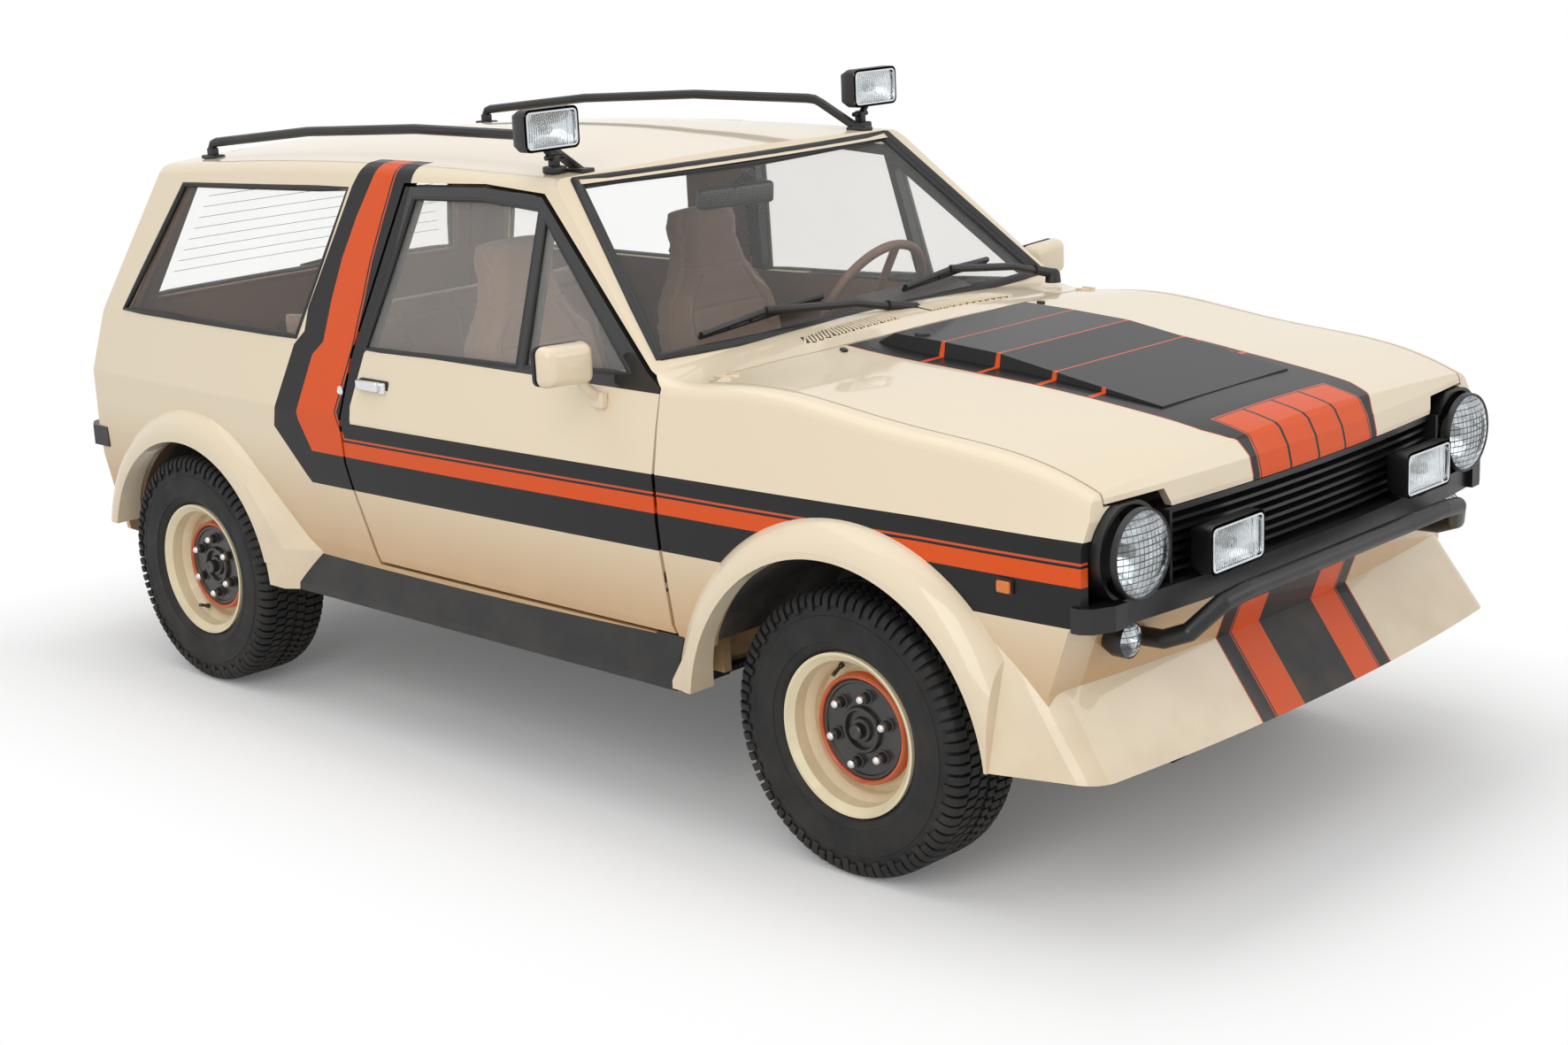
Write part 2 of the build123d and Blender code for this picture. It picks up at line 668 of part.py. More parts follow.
def make_front_arms():
    """Cross member under the engine with both lower arms."""
    member = block(-385, 385, -48, 48, floor_z - 110, floor_z - 60)
    arms = []
    for side in (-1, 1):
        arm = block(side * 300, side * (ball_x + 24), -22, 22, ball_z - 26, ball_z - 8)
        arm = arm + block(side * 300, side * 345, -48, 48, ball_z - 26, floor_z - 60)
        low, high = strut_point(-0.2), strut_point(0.2)
        bore = rod((side * low[0], 0, low[2]), (side * high[0], 0, high[2]), ball_pin + pin_play)
        arms.append(arm - bore)
    return joined([member, *arms])


def wheel_profile(points, side):
    """Points of (depth behind the rim's outer edge, radius), turned about the axle."""
    return [(side * -depth, radius) for depth, radius in points]


def turned(outline, face_x, y):
    """Outline in (x, radius) turned about a wheel's axle."""
    face = Plane(origin=(face_x, y, tyre_radius), x_dir=(1, 0, 0), z_dir=(0, -1, 0)) * outline
    return revolve(face, Axis((face_x, y, tyre_radius), (1, 0, 0)), 360)


def make_rim(face_x, y, side):
    """Steel wheel: barrel, dished disc and hub with the spindle's bore."""
    bore = spindle_radius + pin_play
    d, w, r = disc_depth, rim_width, rim_outer
    points = [
        (0, r), (9, r), (9, rim_seat), (42, rim_seat - 2), (62, rim_seat - 14), (w - 56, rim_seat - 14),
        (w - 36, rim_seat - 2), (w - 9, rim_seat), (w - 9, r), (w, r), (w, r - 7), (w - 8, rim_seat - 7),
        (w - 36, rim_seat - 9), (w - 56, rim_seat - 22), (d + 40, rim_seat - 22), (d + 34, 122), (d + 12, 112),
        (d + 12, 40), (d + hub_length, 38), (d + hub_length, bore), (d, bore), (d, 112), (d + 22, 126),
        (d + 26, rim_seat - 22), (60, rim_seat - 21), (40, rim_seat - 10), (12, rim_seat - 7), (0, r - 6),
    ]
    face = make_face(Polyline(*wheel_profile(points, side), close=True))
    return turned(face, face_x, y)


def make_tyre(face_x, y, side):
    half, w = tyre_width / 2, rim_width / 2
    bead = w - 9
    crown = tyre_radius
    def at(u, r):
        return (side * (u - w), r)
    edges = [
        Line(at(-bead, rim_seat), at(-bead, rim_outer + 2)),
        ThreePointArc(at(-bead, rim_outer + 2), at(-half, 242), at(-half + 9, crown - 14)),
        ThreePointArc(at(-half + 9, crown - 14), at(-half + 13, crown - 7), at(-half + 22, crown - 3)),
        ThreePointArc(at(-half + 22, crown - 3), at(0, crown), at(half - 22, crown - 3)),
        ThreePointArc(at(half - 22, crown - 3), at(half - 13, crown - 7), at(half - 9, crown - 14)),
        ThreePointArc(at(half - 9, crown - 14), at(half, 242), at(bead, rim_outer + 2)),
        Line(at(bead, rim_outer + 2), at(bead, rim_seat)),
        Line(at(bead, rim_seat), at(-bead, rim_seat)),
    ]
    return turned(make_face([e.edge() for e in edges]), face_x, y)


def make_rear_axle():
    """Beam axle on two leaf springs that hang from the boot floor."""
    tube_end = rim_face_rear - disc_depth - hub_length - 6
    y = wheelbase
    pieces = [
        across(axle_radius, -tube_end, tube_end, y, tyre_radius),
        across(spindle_radius, -rim_face_rear + disc_depth - 6, rim_face_rear - disc_depth + 6, y, tyre_radius),
    ]
    spring_z = tyre_radius - axle_radius - 12
    for side in (-1, 1):
        x = side * 500
        pieces.append(across(112, side * (tube_end - 16), side * (tube_end - 6), y, tyre_radius))
        pieces.append(block(x - 25, x + 25, y - 440, y + 440, spring_z - 14, spring_z))
        pieces.append(block(x - 32, x + 32, y - 50, y + 50, spring_z - 20, tyre_radius))
        for end in (-410, 410):
            pieces.append(block(x - 30, x + 30, y + end - 12, y + end + 12, spring_z - 18, boot_z - 12))
    return joined(pieces)


def make_engine():
    """Transverse engine and gearbox as one block, with the two drive shafts."""
    body = block(-300, 300, -330, engine_back, floor_z - 60, 800)
    inner = strut_point((tyre_radius - ball_z) / (strut_z - ball_z))[0] - strut_radius - 12
    return joined([body, across(13, -inner, inner, 0, tyre_radius)])


def pipe(points, radius):
    """Round pipe through the points, with ball corners."""
    runs = [rod(a, b, radius) for a, b in zip(points, points[1:])]
    balls = [Pos(*p) * Sphere(radius) for p in points[1:-1]]
    return joined([*runs, *balls])


def make_exhaust():
    y = wheelbase
    x = -400
    under = floor_z - 44
    line = pipe([(0, engine_back + 0.5, floor_z + 28), (0, boot_front - 140, floor_z + 24), (0, boot_front - 20, under),
                 (x, boot_front + 160, under + 6), (x, y - 190, under + 20), (x, y - 90, 392), (x, y + 140, 392),
                 (x, tail_reach - 70, 388)], 21)
    silencer = rod((x, y + 150, 392), (x, y + 400, 392), 48)
    hanger = block(x - 10, x + 10, y + 250, y + 270, 400, boot_z - 12)
    return line + silencer + hanger


def make_fuel_tank():
    return fillet(block(-320, 320, boot_front + 200, wheelbase - 70, 300, boot_z - 12).edges().filter_by(Axis.X), 30)


# ---- nose fittings ----
def face_band(y0, y1, z0, z1, half):
    """Slab that follows the nose in plan, between y0 and y1 on the centre line."""
    points = [(y0, z0), (y1, z0), (y1, z1), (y0, z1)]
    return revolved_band(points, face_y + plan_radius) & block(-half, half, -900, 0, z0 - 1, z1 + 1)


def make_grille():
    """Black nose moulding: back wall, slats and the two headlamp buckets."""
    x, z, radius = headlamp
    low, top, deep = face_low + 2, nose_lip - panel_gap, face_y + 62
    half = brow_inner + 12
    panel = face_band(deep, deep + 8, low, top, face_half - 10)
    panel = panel + face_band(face_y + 4, deep + 4, low, low + 42, face_half - 10)
    panel = panel + face_band(face_y + 8, deep + 4, top - 12, top, half)
    pitch = (top - 12 - low - 42) / 7
    for row in range(1, 7):
        level = low + 42 + row * pitch
        panel = panel + face_band(face_y + 16, deep + 4, level - 3.5, level + 3.5, half)
    for side in (-1, 1):
        bucket = rod((side * x, face_y + 26, z), (side * x, face_y + 110, z), radius + 8)
        bucket = bucket & block(-face_half + 2, face_half - 2, -900, 0, low, lamp_brow - panel_gap)
        wall_plate = block(side * half, side * (half + 8), face_y + 14, face_y + 80, low, top)
        panel = panel + bucket + wall_plate
        panel = panel - rod((side * x, face_y - 10, z), (side * x, face_y + 200, z), radius)
    return panel


def lamp_solid(x, z, radius, front, back, dome):
    """Round lamp along Y with a domed lens."""
    ball = (radius * radius + dome * dome) / (2 * dome)
    body = rod((x, front, z), (x, back, z), radius)
    return body & Pos(x, front + ball, z) * Sphere(ball)


def box_lamp(x, y, z, width, height, deep):
    """Rectangular driving lamp whose lens faces forward at y."""
    body = block(x - width / 2, x + width / 2, y, y + deep, z - height / 2, z + height / 2)
    body = fillet(body.edges().filter_by(Axis.Y), 14)
    return fillet(body.faces().sort_by(Axis.Y)[-1].edges(), 16)


def make_headlamp():
    x, z, radius = headlamp
    return lamp_solid(x, z, radius, face_y + 22, face_y + 108, 16)


def make_foglamp():
    x, z, radius = foglamp
    return lamp_solid(x, z, radius, -622, -560, 8) - front_outer


def make_front_bumper(grille, headlamps):
    z0, z1 = face_low, face_low + 50
    bar = face_band(face_y - 22, face_y + 60, z0, z1, 690)
    ends = prism([(655, -652), (690, -650), (735, -628), (748, -606), (748, -588), (650, -588)], "Z", z0, z1)
    return (bar + ends + mirror(ends, Plane.YZ)) - front_outer - grille - headlamps


def make_push_bar():
    radius = 19.0
    front = radius - nose_reach
    half = [(380, front, 660), (452, front + 6, 652), (512, -690, 602), (524, -640, 582), (524, -540, 578)]
    return pipe([(-x, y, z) for x, y, z in reversed(half)] + half, radius) - front_outer


def make_grille_spots():
    x, z, width, height = grille_spot
    lamp = box_lamp(x, -704, z, width, height, 56)
    stem = block(x - 14, x + 14, -684, -652, face_low + 50, z - height / 2 + 4)
    return lamp + stem


def make_roof_spots():
    x, z, width, height = roof_spot
    lamp = box_lamp(x, 1003, z, width, height, 58)
    stem = rod((x - 8, 1034, z - height / 2 + 6), (x - 30, 1034, z - height / 2 - 22), 9)
    foot = block(x - 46, x - 6, 1012, 1056, 1390, z - height / 2 - 16)
    return lamp + stem + foot - cabin_outer


def make_rail():
    """Left roof rail: a flat bar on two feet."""
    t = 21.0
    line = [(990, 1400), (1150, 1478), (1600, 1482), (2050, 1458), (2506, 1414), (2506, 1360)]
    under = [(2506 - t, 1360), (2506 - t, 1414 - t), (2050, 1458 - t), (1600, 1482 - t), (1156, 1478 - t),
             (1020, 1400)]
    bar = prism(line + under, "X", 470, 500)
    bar = Pos(485, 990, 0) * Rot(0, 0, 1.0) * Pos(-475, -990, 0) * bar
    return bar - cabin_outer


def make_rear_bumper():
    z0, z1 = 586.0, tailgate_bottom - 10
    y = tail_reach
    outline = [(0, y), (660, y - 26), (728, y - 50), (756, y - 92), (756, 2740), (738, 2740), (738, 2700), (0, 2700)]
    half = prism(outline, "Z", z0, z1) - cabin_outer
    return half + mirror(half, Plane.YZ)


def make_tail_lamp():
    x0, x1, z0, z1 = tail_lamp
    return cabin_outer & block(x0, x1, 2770, 2900, z0, z1)


def make_sill_cover(skirt, flare, wing):
    """Black cover over the left sill, between the two flares."""
    outline = [(700, 447), (758, 447), (790, 352), (790, sill_bottom - 12), (700, sill_bottom - 12)]
    cover = prism(outline, "Y", wing_back - 60, 1900)
    cover = cover - cabin_outer - skirt - flare - wing
    cover = cover & block(700, 900, 300, 1900, sill_bottom - 12, 447)
    return max(cover.solids(), key=lambda solid: solid.volume)


# ---- cabin fittings ----
def make_dashboard(scuttle, side):
    outline = [(480, 1000), (600, 1006), (680, 1004), (722, 984), (730, 930), (712, 870), (690, 760), (560, 700),
               (480, 700)]
    board = prism(outline, "X", -dash_half, dash_half)
    board = board - scuttle - side - mirror(side, Plane.YZ) - screen_cut(roof_wall)
    return max(board.solids(), key=lambda solid: solid.volume)


def column_point(distance):
    """Point on the steering column, measured down from the wheel's centre."""
    x, y, z = wheel_centre
    tilt = math.radians(column_tilt)
    return (x, y - distance * math.cos(tilt), z - distance * math.sin(tilt))


def make_column(board):
    tube = rod(column_point(36), column_point(240), 24) - rod(column_point(0), column_point(150), 8 + pin_play)
    return max((tube - board).solids(), key=lambda solid: solid.volume)


def make_steering_wheel():
    """Three-spoked steering wheel with the stub of its shaft."""
    plane = Plane(origin=wheel_centre, x_dir=(1, 0, 0), z_dir=Vector(*column_point(-1)) - Vector(*wheel_centre))
    rim = Torus(wheel_radius - 12, 12)
    hub = Pos(0, 0, -8) * Cylinder(34, 28)
    spokes = [Rot(0, 0, turn) * Pos(wheel_radius / 2 - 6, 0, -6) * Box(wheel_radius - 12, 26, 8)
              for turn in (0, 180, 270)]
    return plane * joined([rim, hub, *spokes, Pos(0, 0, -60) * Cylinder(8, 100)])


def make_front_seat(x):
    """High-backed bucket seat on its runner base."""
    half = 236.0
    z = floor_z
    cushion = prism([(880, 470), (880, 566), (910, 588), (1290, 560), (1310, 450), (920, 446)], "X", -half, half)
    back = prism([(1256, 500), (1286, 560), (1372, 1000), (1402, 1130), (1408, 1210), (1432, 1222), (1470, 1204),
                  (1476, 1100), (1450, 980), (1380, 500), (1330, 460)], "X", -half, half)
    taper = prism([(-half, 400), (-half, 960), (-150, 1060), (-126, 1120), (-120, 1300), (120, 1300), (126, 1120),
                   (150, 1060), (half, 960), (half, 400)], "Y", 800, 1600)
    base = block(-170, 170, 930, 1280, z, 470)
    return Pos(x, 0, 0) * joined([cushion, back & taper, base])


def make_rear_seat():
    z = boot_z
    outline = [(boot_front, z), (boot_front - 10, z + 130), (boot_front + 20, z + 150), (2040, z + 130),
               (2120, 1000), (2190, 1004), (2200, 960), (2130, z)]
    return prism(outline, "X", -560, 560) - rod((-700, *rear_arch[:2]), (700, *rear_arch[:2]), 10)


def screen_at(x, z, lift):
    """Point at height z that stands lift ahead of the windscreen."""
    centre = screen_foot[0] + plan_radius
    radius = centre - screen_line(z, -lift)
    return (x, centre - math.sqrt(radius * radius - x * x), z)


def make_wiper(pivot, elbow, tip_low, tip_high):
    """Parked wiper: pivot, arm and blade."""
    px, py, pz = pivot
    post = Pos(px, py, pz) * Cylinder(9, 50)
    arm = pipe([(px, py, pz + 20), screen_at(*elbow, 16)], 4.5)
    blade = rod(screen_at(*tip_low, 9), screen_at(*tip_high, 9), 6)
    reach = rod(screen_at(*elbow, 16), screen_at(*elbow, 6), 5)
    return joined([post, arm, reach, blade]) - front_outer


def make_mirror():
    """Left door mirror on its foot."""
    head = block(770, 915, 655, 712, 992, 1084)
    head = fillet(head.edges().filter_by(Axis.Y), 16)
    head = fillet(head.faces().sort_by(Axis.Y)[0].edges(), 14)
    stem = rod((792, 690, 1000), (742, 690, 946), 11)
    foot = block(700, 752, 668, 712, 925, 962)
    return head + (stem + foot - cabin_outer)


# ---- assembly ----
def group(*shapes):
    """Like pieces of one node, as separate solids."""
    return Compound(children=[solid for shape in shapes for solid in shape.solids()])


front_skirt = make_front_skirt()
rear_flare = make_rear_flare()
wing = make_wing()
scuttle = make_scuttle()
side_panel = make_side_panel(wing, scuttle)
rear_panel = make_rear_panel()
grille = make_grille()
headlamps = both(make_headlamp())
dashboard = make_dashboard(scuttle, side_panel)
door = make_door()
door_mirror = make_mirror()
door_panes, quarter_pane = make_side_glass()
door_glass = group(*door_panes)
knuckle = make_knuckle()

parts = {
    "floor_pan": make_floor(scuttle, rear_panel),
    "side_panels": both(side_panel),
    "roof_panel": make_roof(),
    "scuttle_panel": scuttle,
    "rear_panel": rear_panel,
    "front_wings": both(wing),
    "front_valance": make_valance(),
    "arch_liners": group(both(make_front_liner()), both(make_rear_liner())),
    "front_skirt": front_skirt,
    "rear_flares": both(rear_flare),
    "sill_covers": both(make_sill_cover(front_skirt, rear_flare, wing)),
    "grille": grille,
    "headlamps": headlamps,
    "driving_lamps": group(both(make_foglamp()), both(make_grille_spots()), both(make_roof_spots())),
    "tail_lamps": both(make_tail_lamp()),
    "front_bumper": make_front_bumper(grille, headlamps),
    "push_bar": make_push_bar(),
    "rear_bumper": make_rear_bumper(),
    "fixed_glass": group(make_windscreen(), both(quarter_pane)),
    "dashboard": dashboard,
    "steering_column": make_column(dashboard),
    "front_seats": group(make_front_seat(seat_x), make_front_seat(-seat_x)),
    "rear_seat": make_rear_seat(),
    "engine": make_engine(),
    "front_arms": make_front_arms(),
    "rear_axle": make_rear_axle(),
    "fuel_tank": make_fuel_tank(),
    "exhaust": make_exhaust(),
    "roof_rails": both(make_rail()),
    "wipers": group(
        make_wiper((60, 466, 1016), (-190, 1058), (-543, 1037), (-130, 1064)),
        make_wiper((598, 468, 1010), (400, 1058), (130, 1045), (500, 1062)),
    ),
    "door_left": door,
    "door_right": mirror(door, Plane.YZ),
    "door_glass_left": door_glass,
    "door_glass_right": mirror(door_glass, Plane.YZ),
    "door_mirror_left": door_mirror,
    "door_mirror_right": mirror(door_mirror, Plane.YZ),
    "bonnet": make_bonnet(),
    "tailgate": make_tailgate(),
    "tailgate_glass": make_tail_glass(),
    "knuckle_left": knuckle,
    "knuckle_right": mirror(knuckle, Plane.YZ),
    "steering_wheel": make_steering_wheel(),
}
for side, name in ((1, "left"), (-1, "right")):
    for y, face_x, place in ((0.0, rim_face_front, "front"), (wheelbase, rim_face_rear, "rear")):
        parts[f"rim_{place}_{name}"] = make_rim(side * face_x, y, side)
        parts[f"tyre_{place}_{name}"] = make_tyre(side * face_x, y, side)

os.makedirs("parts", exist_ok=True)
for name, shape in parts.items():
    export_step(Pos(0, -middle, 0) * shape, f"parts/{name}.step")
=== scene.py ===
import bpy
import bmesh
import json
import math
import random
from mathutils import Matrix, Vector
from mathutils.bvhtree import BVHTree

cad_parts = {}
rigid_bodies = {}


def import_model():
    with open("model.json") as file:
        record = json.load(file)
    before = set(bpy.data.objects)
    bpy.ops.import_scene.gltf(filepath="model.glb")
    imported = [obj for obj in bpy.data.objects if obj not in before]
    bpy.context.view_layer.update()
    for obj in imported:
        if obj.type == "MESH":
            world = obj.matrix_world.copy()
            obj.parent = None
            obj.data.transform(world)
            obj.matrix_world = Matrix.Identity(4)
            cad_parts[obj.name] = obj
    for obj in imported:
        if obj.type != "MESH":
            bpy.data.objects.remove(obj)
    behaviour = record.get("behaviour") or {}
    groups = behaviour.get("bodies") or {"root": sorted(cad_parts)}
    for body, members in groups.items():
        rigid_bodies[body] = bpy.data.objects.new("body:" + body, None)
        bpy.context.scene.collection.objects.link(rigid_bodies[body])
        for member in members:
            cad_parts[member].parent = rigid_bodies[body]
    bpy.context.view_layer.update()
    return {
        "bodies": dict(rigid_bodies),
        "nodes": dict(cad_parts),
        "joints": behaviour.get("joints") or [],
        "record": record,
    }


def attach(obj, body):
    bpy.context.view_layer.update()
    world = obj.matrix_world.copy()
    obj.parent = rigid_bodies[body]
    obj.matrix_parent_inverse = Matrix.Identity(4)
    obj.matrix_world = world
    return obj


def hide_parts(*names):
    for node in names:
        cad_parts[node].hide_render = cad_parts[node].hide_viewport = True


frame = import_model()
nodes = frame["nodes"]
sides = ((1, "left"), (-1, "right"))
print("frame loaded:", len(nodes), "nodes")


# short names for shader nodes
def colour(red, green, blue):
    values = [v / 255 for v in (red, green, blue)]
    return tuple(v / 12.92 if v <= 0.04045 else ((v + 0.055) / 1.055) ** 2.4 for v in values) + (1.0,)


def addNode(tree, kind, **settings):
    node = tree.nodes.new(kind)
    for name, value in settings.items():
        setattr(node, name, value)
    return node


def feed(tree, socket, value):
    if isinstance(value, bpy.types.NodeSocket):
        tree.links.new(value, socket)
    else:
        socket.default_value = value


def calc(tree, operation, *values):
    node = addNode(tree, "ShaderNodeMath", operation=operation)
    for socket, value in zip(node.inputs, values):
        feed(tree, socket, value)
    return node.outputs[0]


def mixColour(tree, factor, first, second):
    node = addNode(tree, "ShaderNodeMix", data_type="RGBA")
    feed(tree, node.inputs[0], factor)
    feed(tree, node.inputs[6], first)
    feed(tree, node.inputs[7], second)
    return node.outputs[2]


def mixValue(tree, factor, first, second):
    node = addNode(tree, "ShaderNodeMix", data_type="FLOAT")
    feed(tree, node.inputs[0], factor)
    feed(tree, node.inputs[2], first)
    feed(tree, node.inputs[3], second)
    return node.outputs[0]


def ramp(tree, value, low, high, start=0.0, stop=1.0):
    node = addNode(tree, "ShaderNodeMapRange")
    for socket, entry in zip(node.inputs, (value, low, high, start, stop)):
        feed(tree, socket, entry)
    return node.outputs[0]


def polyLine(tree, value, points):      # piecewise straight function through (value, result) points
    total = points[0][1]
    for (v0, r0), (v1, r1) in zip(points, points[1:]):
        total = calc(tree, "ADD", total, ramp(tree, value, v0, v1, 0.0, r1 - r0))
    return total


def less(tree, first, second):
    return calc(tree, "LESS_THAN", first, second)


def allOf(tree, *masks):
    total = masks[0]
    for mask in masks[1:]:
        total = calc(tree, "MULTIPLY", total, mask)
    return total


def anyOf(tree, *masks):
    total = masks[0]
    for mask in masks[1:]:
        total = calc(tree, "MAXIMUM", total, mask)
    return total


def objectPoint(tree):
    place = addNode(tree, "ShaderNodeTexCoord")
    split = addNode(tree, "ShaderNodeSeparateXYZ")
    tree.links.new(place.outputs["Object"], split.inputs[0])
    return place.outputs["Object"], split.outputs[0], split.outputs[1], split.outputs[2]


def noise(tree, scale, detail=3.0, point=None):
    node = addNode(tree, "ShaderNodeTexNoise")
    node.inputs["Scale"].default_value = scale
    node.inputs["Detail"].default_value = detail
    if point is None:
        point = objectPoint(tree)[0]
    tree.links.new(point, node.inputs["Vector"])
    return node.outputs[0]


def shaderGroup(name, inputs, outputs, build):
    group = bpy.data.node_groups.new(name, "ShaderNodeTree")
    for label, value in inputs.items():
        socket = group.interface.new_socket(name=label, in_out="INPUT", socket_type="NodeSocketFloat")
        socket.default_value = value
    for label in outputs:
        group.interface.new_socket(name=label, in_out="OUTPUT", socket_type="NodeSocketFloat")
    entry = group.nodes.new("NodeGroupInput")
    leave = group.nodes.new("NodeGroupOutput")
    results = build(group, *[entry.outputs[label] for label in inputs])
    for label, result in zip(outputs, results):
        feed(group, leave.inputs[label], result)
    return group


def useGroup(tree, group, **values):
    node = tree.nodes.new("ShaderNodeGroup")
    node.node_tree = group
    for label, value in values.items():
        feed(tree, node.inputs[label], value)
    return [node.outputs[item.name] for item in group.interface.items_tree if item.in_out == "OUTPUT"]


def newMaterial(name, **values):
    material = bpy.data.materials.new(name)
    material.use_nodes = True
    shader = material.node_tree.nodes["Principled BSDF"]
    for label, value in values.items():
        shader.inputs[label.replace("_", " ")].default_value = value
    return material, material.node_tree, shader.inputs


def bumpFrom(tree, height, strength, distance):
    node = addNode(tree, "ShaderNodeBump")
    node.inputs["Strength"].default_value = strength
    node.inputs["Distance"].default_value = distance
    feed(tree, node.inputs["Height"], height)
    return node.outputs[0]


view = {"place": (-4.2515, -4.3148, 2.0026), "turn": -45.2247, "rise": 13.6283, "roll": -2.6822,
        "lens": 56.09, "shift": (0.0227, -0.0218)}


def makeCamera():
    turn, rise, roll = (math.radians(view[k]) for k in ("turn", "rise", "roll"))
    back = Vector((math.sin(turn) * math.cos(rise), -math.cos(turn) * math.cos(rise), math.sin(rise)))
    right = Vector((0, 0, 1)).cross(back).normalized()
    up = back.cross(right)
    right, up = right * math.cos(roll) + up * math.sin(roll), up * math.cos(roll) - right * math.sin(roll)
    data = bpy.data.cameras.new("mainView")
    data.lens = view["lens"]
    data.shift_x, data.shift_y = view["shift"]
    data.clip_end = 200
    camera = bpy.data.objects.new("mainView", data)
    camera.matrix_world = Matrix.Translation(view["place"]) @ Matrix((right, up, back)).transposed().to_4x4()
    bpy.context.scene.collection.objects.link(camera)
    bpy.context.scene.camera = camera


makeCamera()
print("camera set")


# effects that several materials share
def buildGrain(tree, scale, coarse):
    fine = addNode(tree, "ShaderNodeTexNoise")
    fine.inputs["Detail"].default_value = 4
    wide = addNode(tree, "ShaderNodeTexNoise")
    wide.inputs["Detail"].default_value = 3
    point = objectPoint(tree)[0]
    for node, size in ((fine, scale), (wide, coarse)):
        tree.links.new(point, node.inputs["Vector"])
        tree.links.new(size, node.inputs["Scale"])
    return fine.outputs[0], wide.outputs[0]


def buildDust(tree, top, bottom, amount):
    z = objectPoint(tree)[3]
    cloud = ramp(tree, noise(tree, 9.0, 5.0), 0.38, 0.66)
    height = ramp(tree, z, top, bottom)
    return [calc(tree, "MULTIPLY", calc(tree, "MULTIPLY", height, cloud), amount)]


def buildInside(tree):                  # faces of the side walls and of the tail that look into the cabin
    place = addNode(tree, "ShaderNodeTexCoord")
    turned = addNode(tree, "ShaderNodeSeparateXYZ")
    tree.links.new(place.outputs["Normal"], turned.inputs[0])
    x, y, z = objectPoint(tree)[1:]
    inward = calc(tree, "MULTIPLY", calc(tree, "SIGN", x), turned.outputs[0])
    skin = polyLine(tree, z, [(0.80, 0.735), (0.95, 0.690), (1.35, 0.565)])
    side = anyOf(tree, less(tree, inward, -0.35), less(tree, calc(tree, "ABSOLUTE", x), skin))
    back = polyLine(tree, z, [(0.42, 1.695), (0.56, 1.738), (0.80, 1.748), (0.96, 1.734), (1.376, 1.542)])
    front = polyLine(tree, z, [(1.0, -0.566), (1.403, -0.102)])
    bow = calc(tree, "DIVIDE", calc(tree, "MULTIPLY", x, x), 10.4)
    inBack = less(tree, calc(tree, "ADD", y, bow), back)
    return (allOf(tree, side, inBack, less(tree, front, calc(tree, "SUBTRACT", y, bow))), inBack,
            less(tree, inward, -0.2), less(tree, turned.outputs[2], -0.3))


def buildSideStripes(tree):
    x, y, z = objectPoint(tree)[1:]
    lift = ramp(tree, y, 0.7, -1.3, -0.010, 0.014)
    v = calc(tree, "SUBTRACT", z, lift)
    rearBlack = polyLine(tree, z, [(0.620, 0.672), (0.749, 0.822), (0.797, 0.814), (0.956, 0.773),
                                   (0.991, 0.738), (1.048, 0.738), (1.349, 0.638), (1.396, 0.610)])
    rearOrange = polyLine(tree, z, [(0.703, 0.663), (0.778, 0.715), (0.797, 0.720), (0.939, 0.690),
                                    (0.973, 0.653), (1.073, 0.647), (1.174, 0.631), (1.275, 0.600),
                                    (1.399, 0.547)])
    frontOrange = polyLine(tree, z, [(0.742, 0.528), (0.797, 0.554), (0.814, 0.566), (0.969, 0.535),
                                     (1.083, 0.524), (1.175, 0.518), (1.267, 0.502), (1.399, 0.475)])
    frontBlack = polyLine(tree, z, [(0.794, 0.496), (0.833, 0.504), (0.961, 0.481), (0.990, 0.455),
                                    (1.396, 0.400)])
    above = less(tree, 0.631, v)
    black = allOf(tree, above, less(tree, y, rearBlack),
                  anyOf(tree, less(tree, v, 0.799), less(tree, frontBlack, y)))
    edge = calc(tree, "MINIMUM", calc(tree, "SUBTRACT", v, 0.750), calc(tree, "SUBTRACT", frontOrange, y))
    wide = allOf(tree, less(tree, 0.713, v), less(tree, y, rearOrange), less(tree, edge, 0.0))
    thin = allOf(tree, less(tree, 0.713, v), less(tree, y, rearOrange),
                 less(tree, 0.0055, edge), less(tree, edge, 0.0105))
    outer = less(tree, 0.53, calc(tree, "ABSOLUTE", x))
    return allOf(tree, black, outer), allOf(tree, wide, outer), allOf(tree, thin, outer)


def buildCentreStripes(tree):
    x = calc(tree, "ABSOLUTE", objectPoint(tree)[1])
    black = less(tree, x, 0.249)
    orange = allOf(tree, less(tree, 0.099, x), less(tree, x, 0.196))
    thin = anyOf(tree, allOf(tree, less(tree, 0.200, x), less(tree, x, 0.203)),
                 allOf(tree, less(tree, 0.2465, x), less(tree, x, 0.250)))
    return black, orange, thin


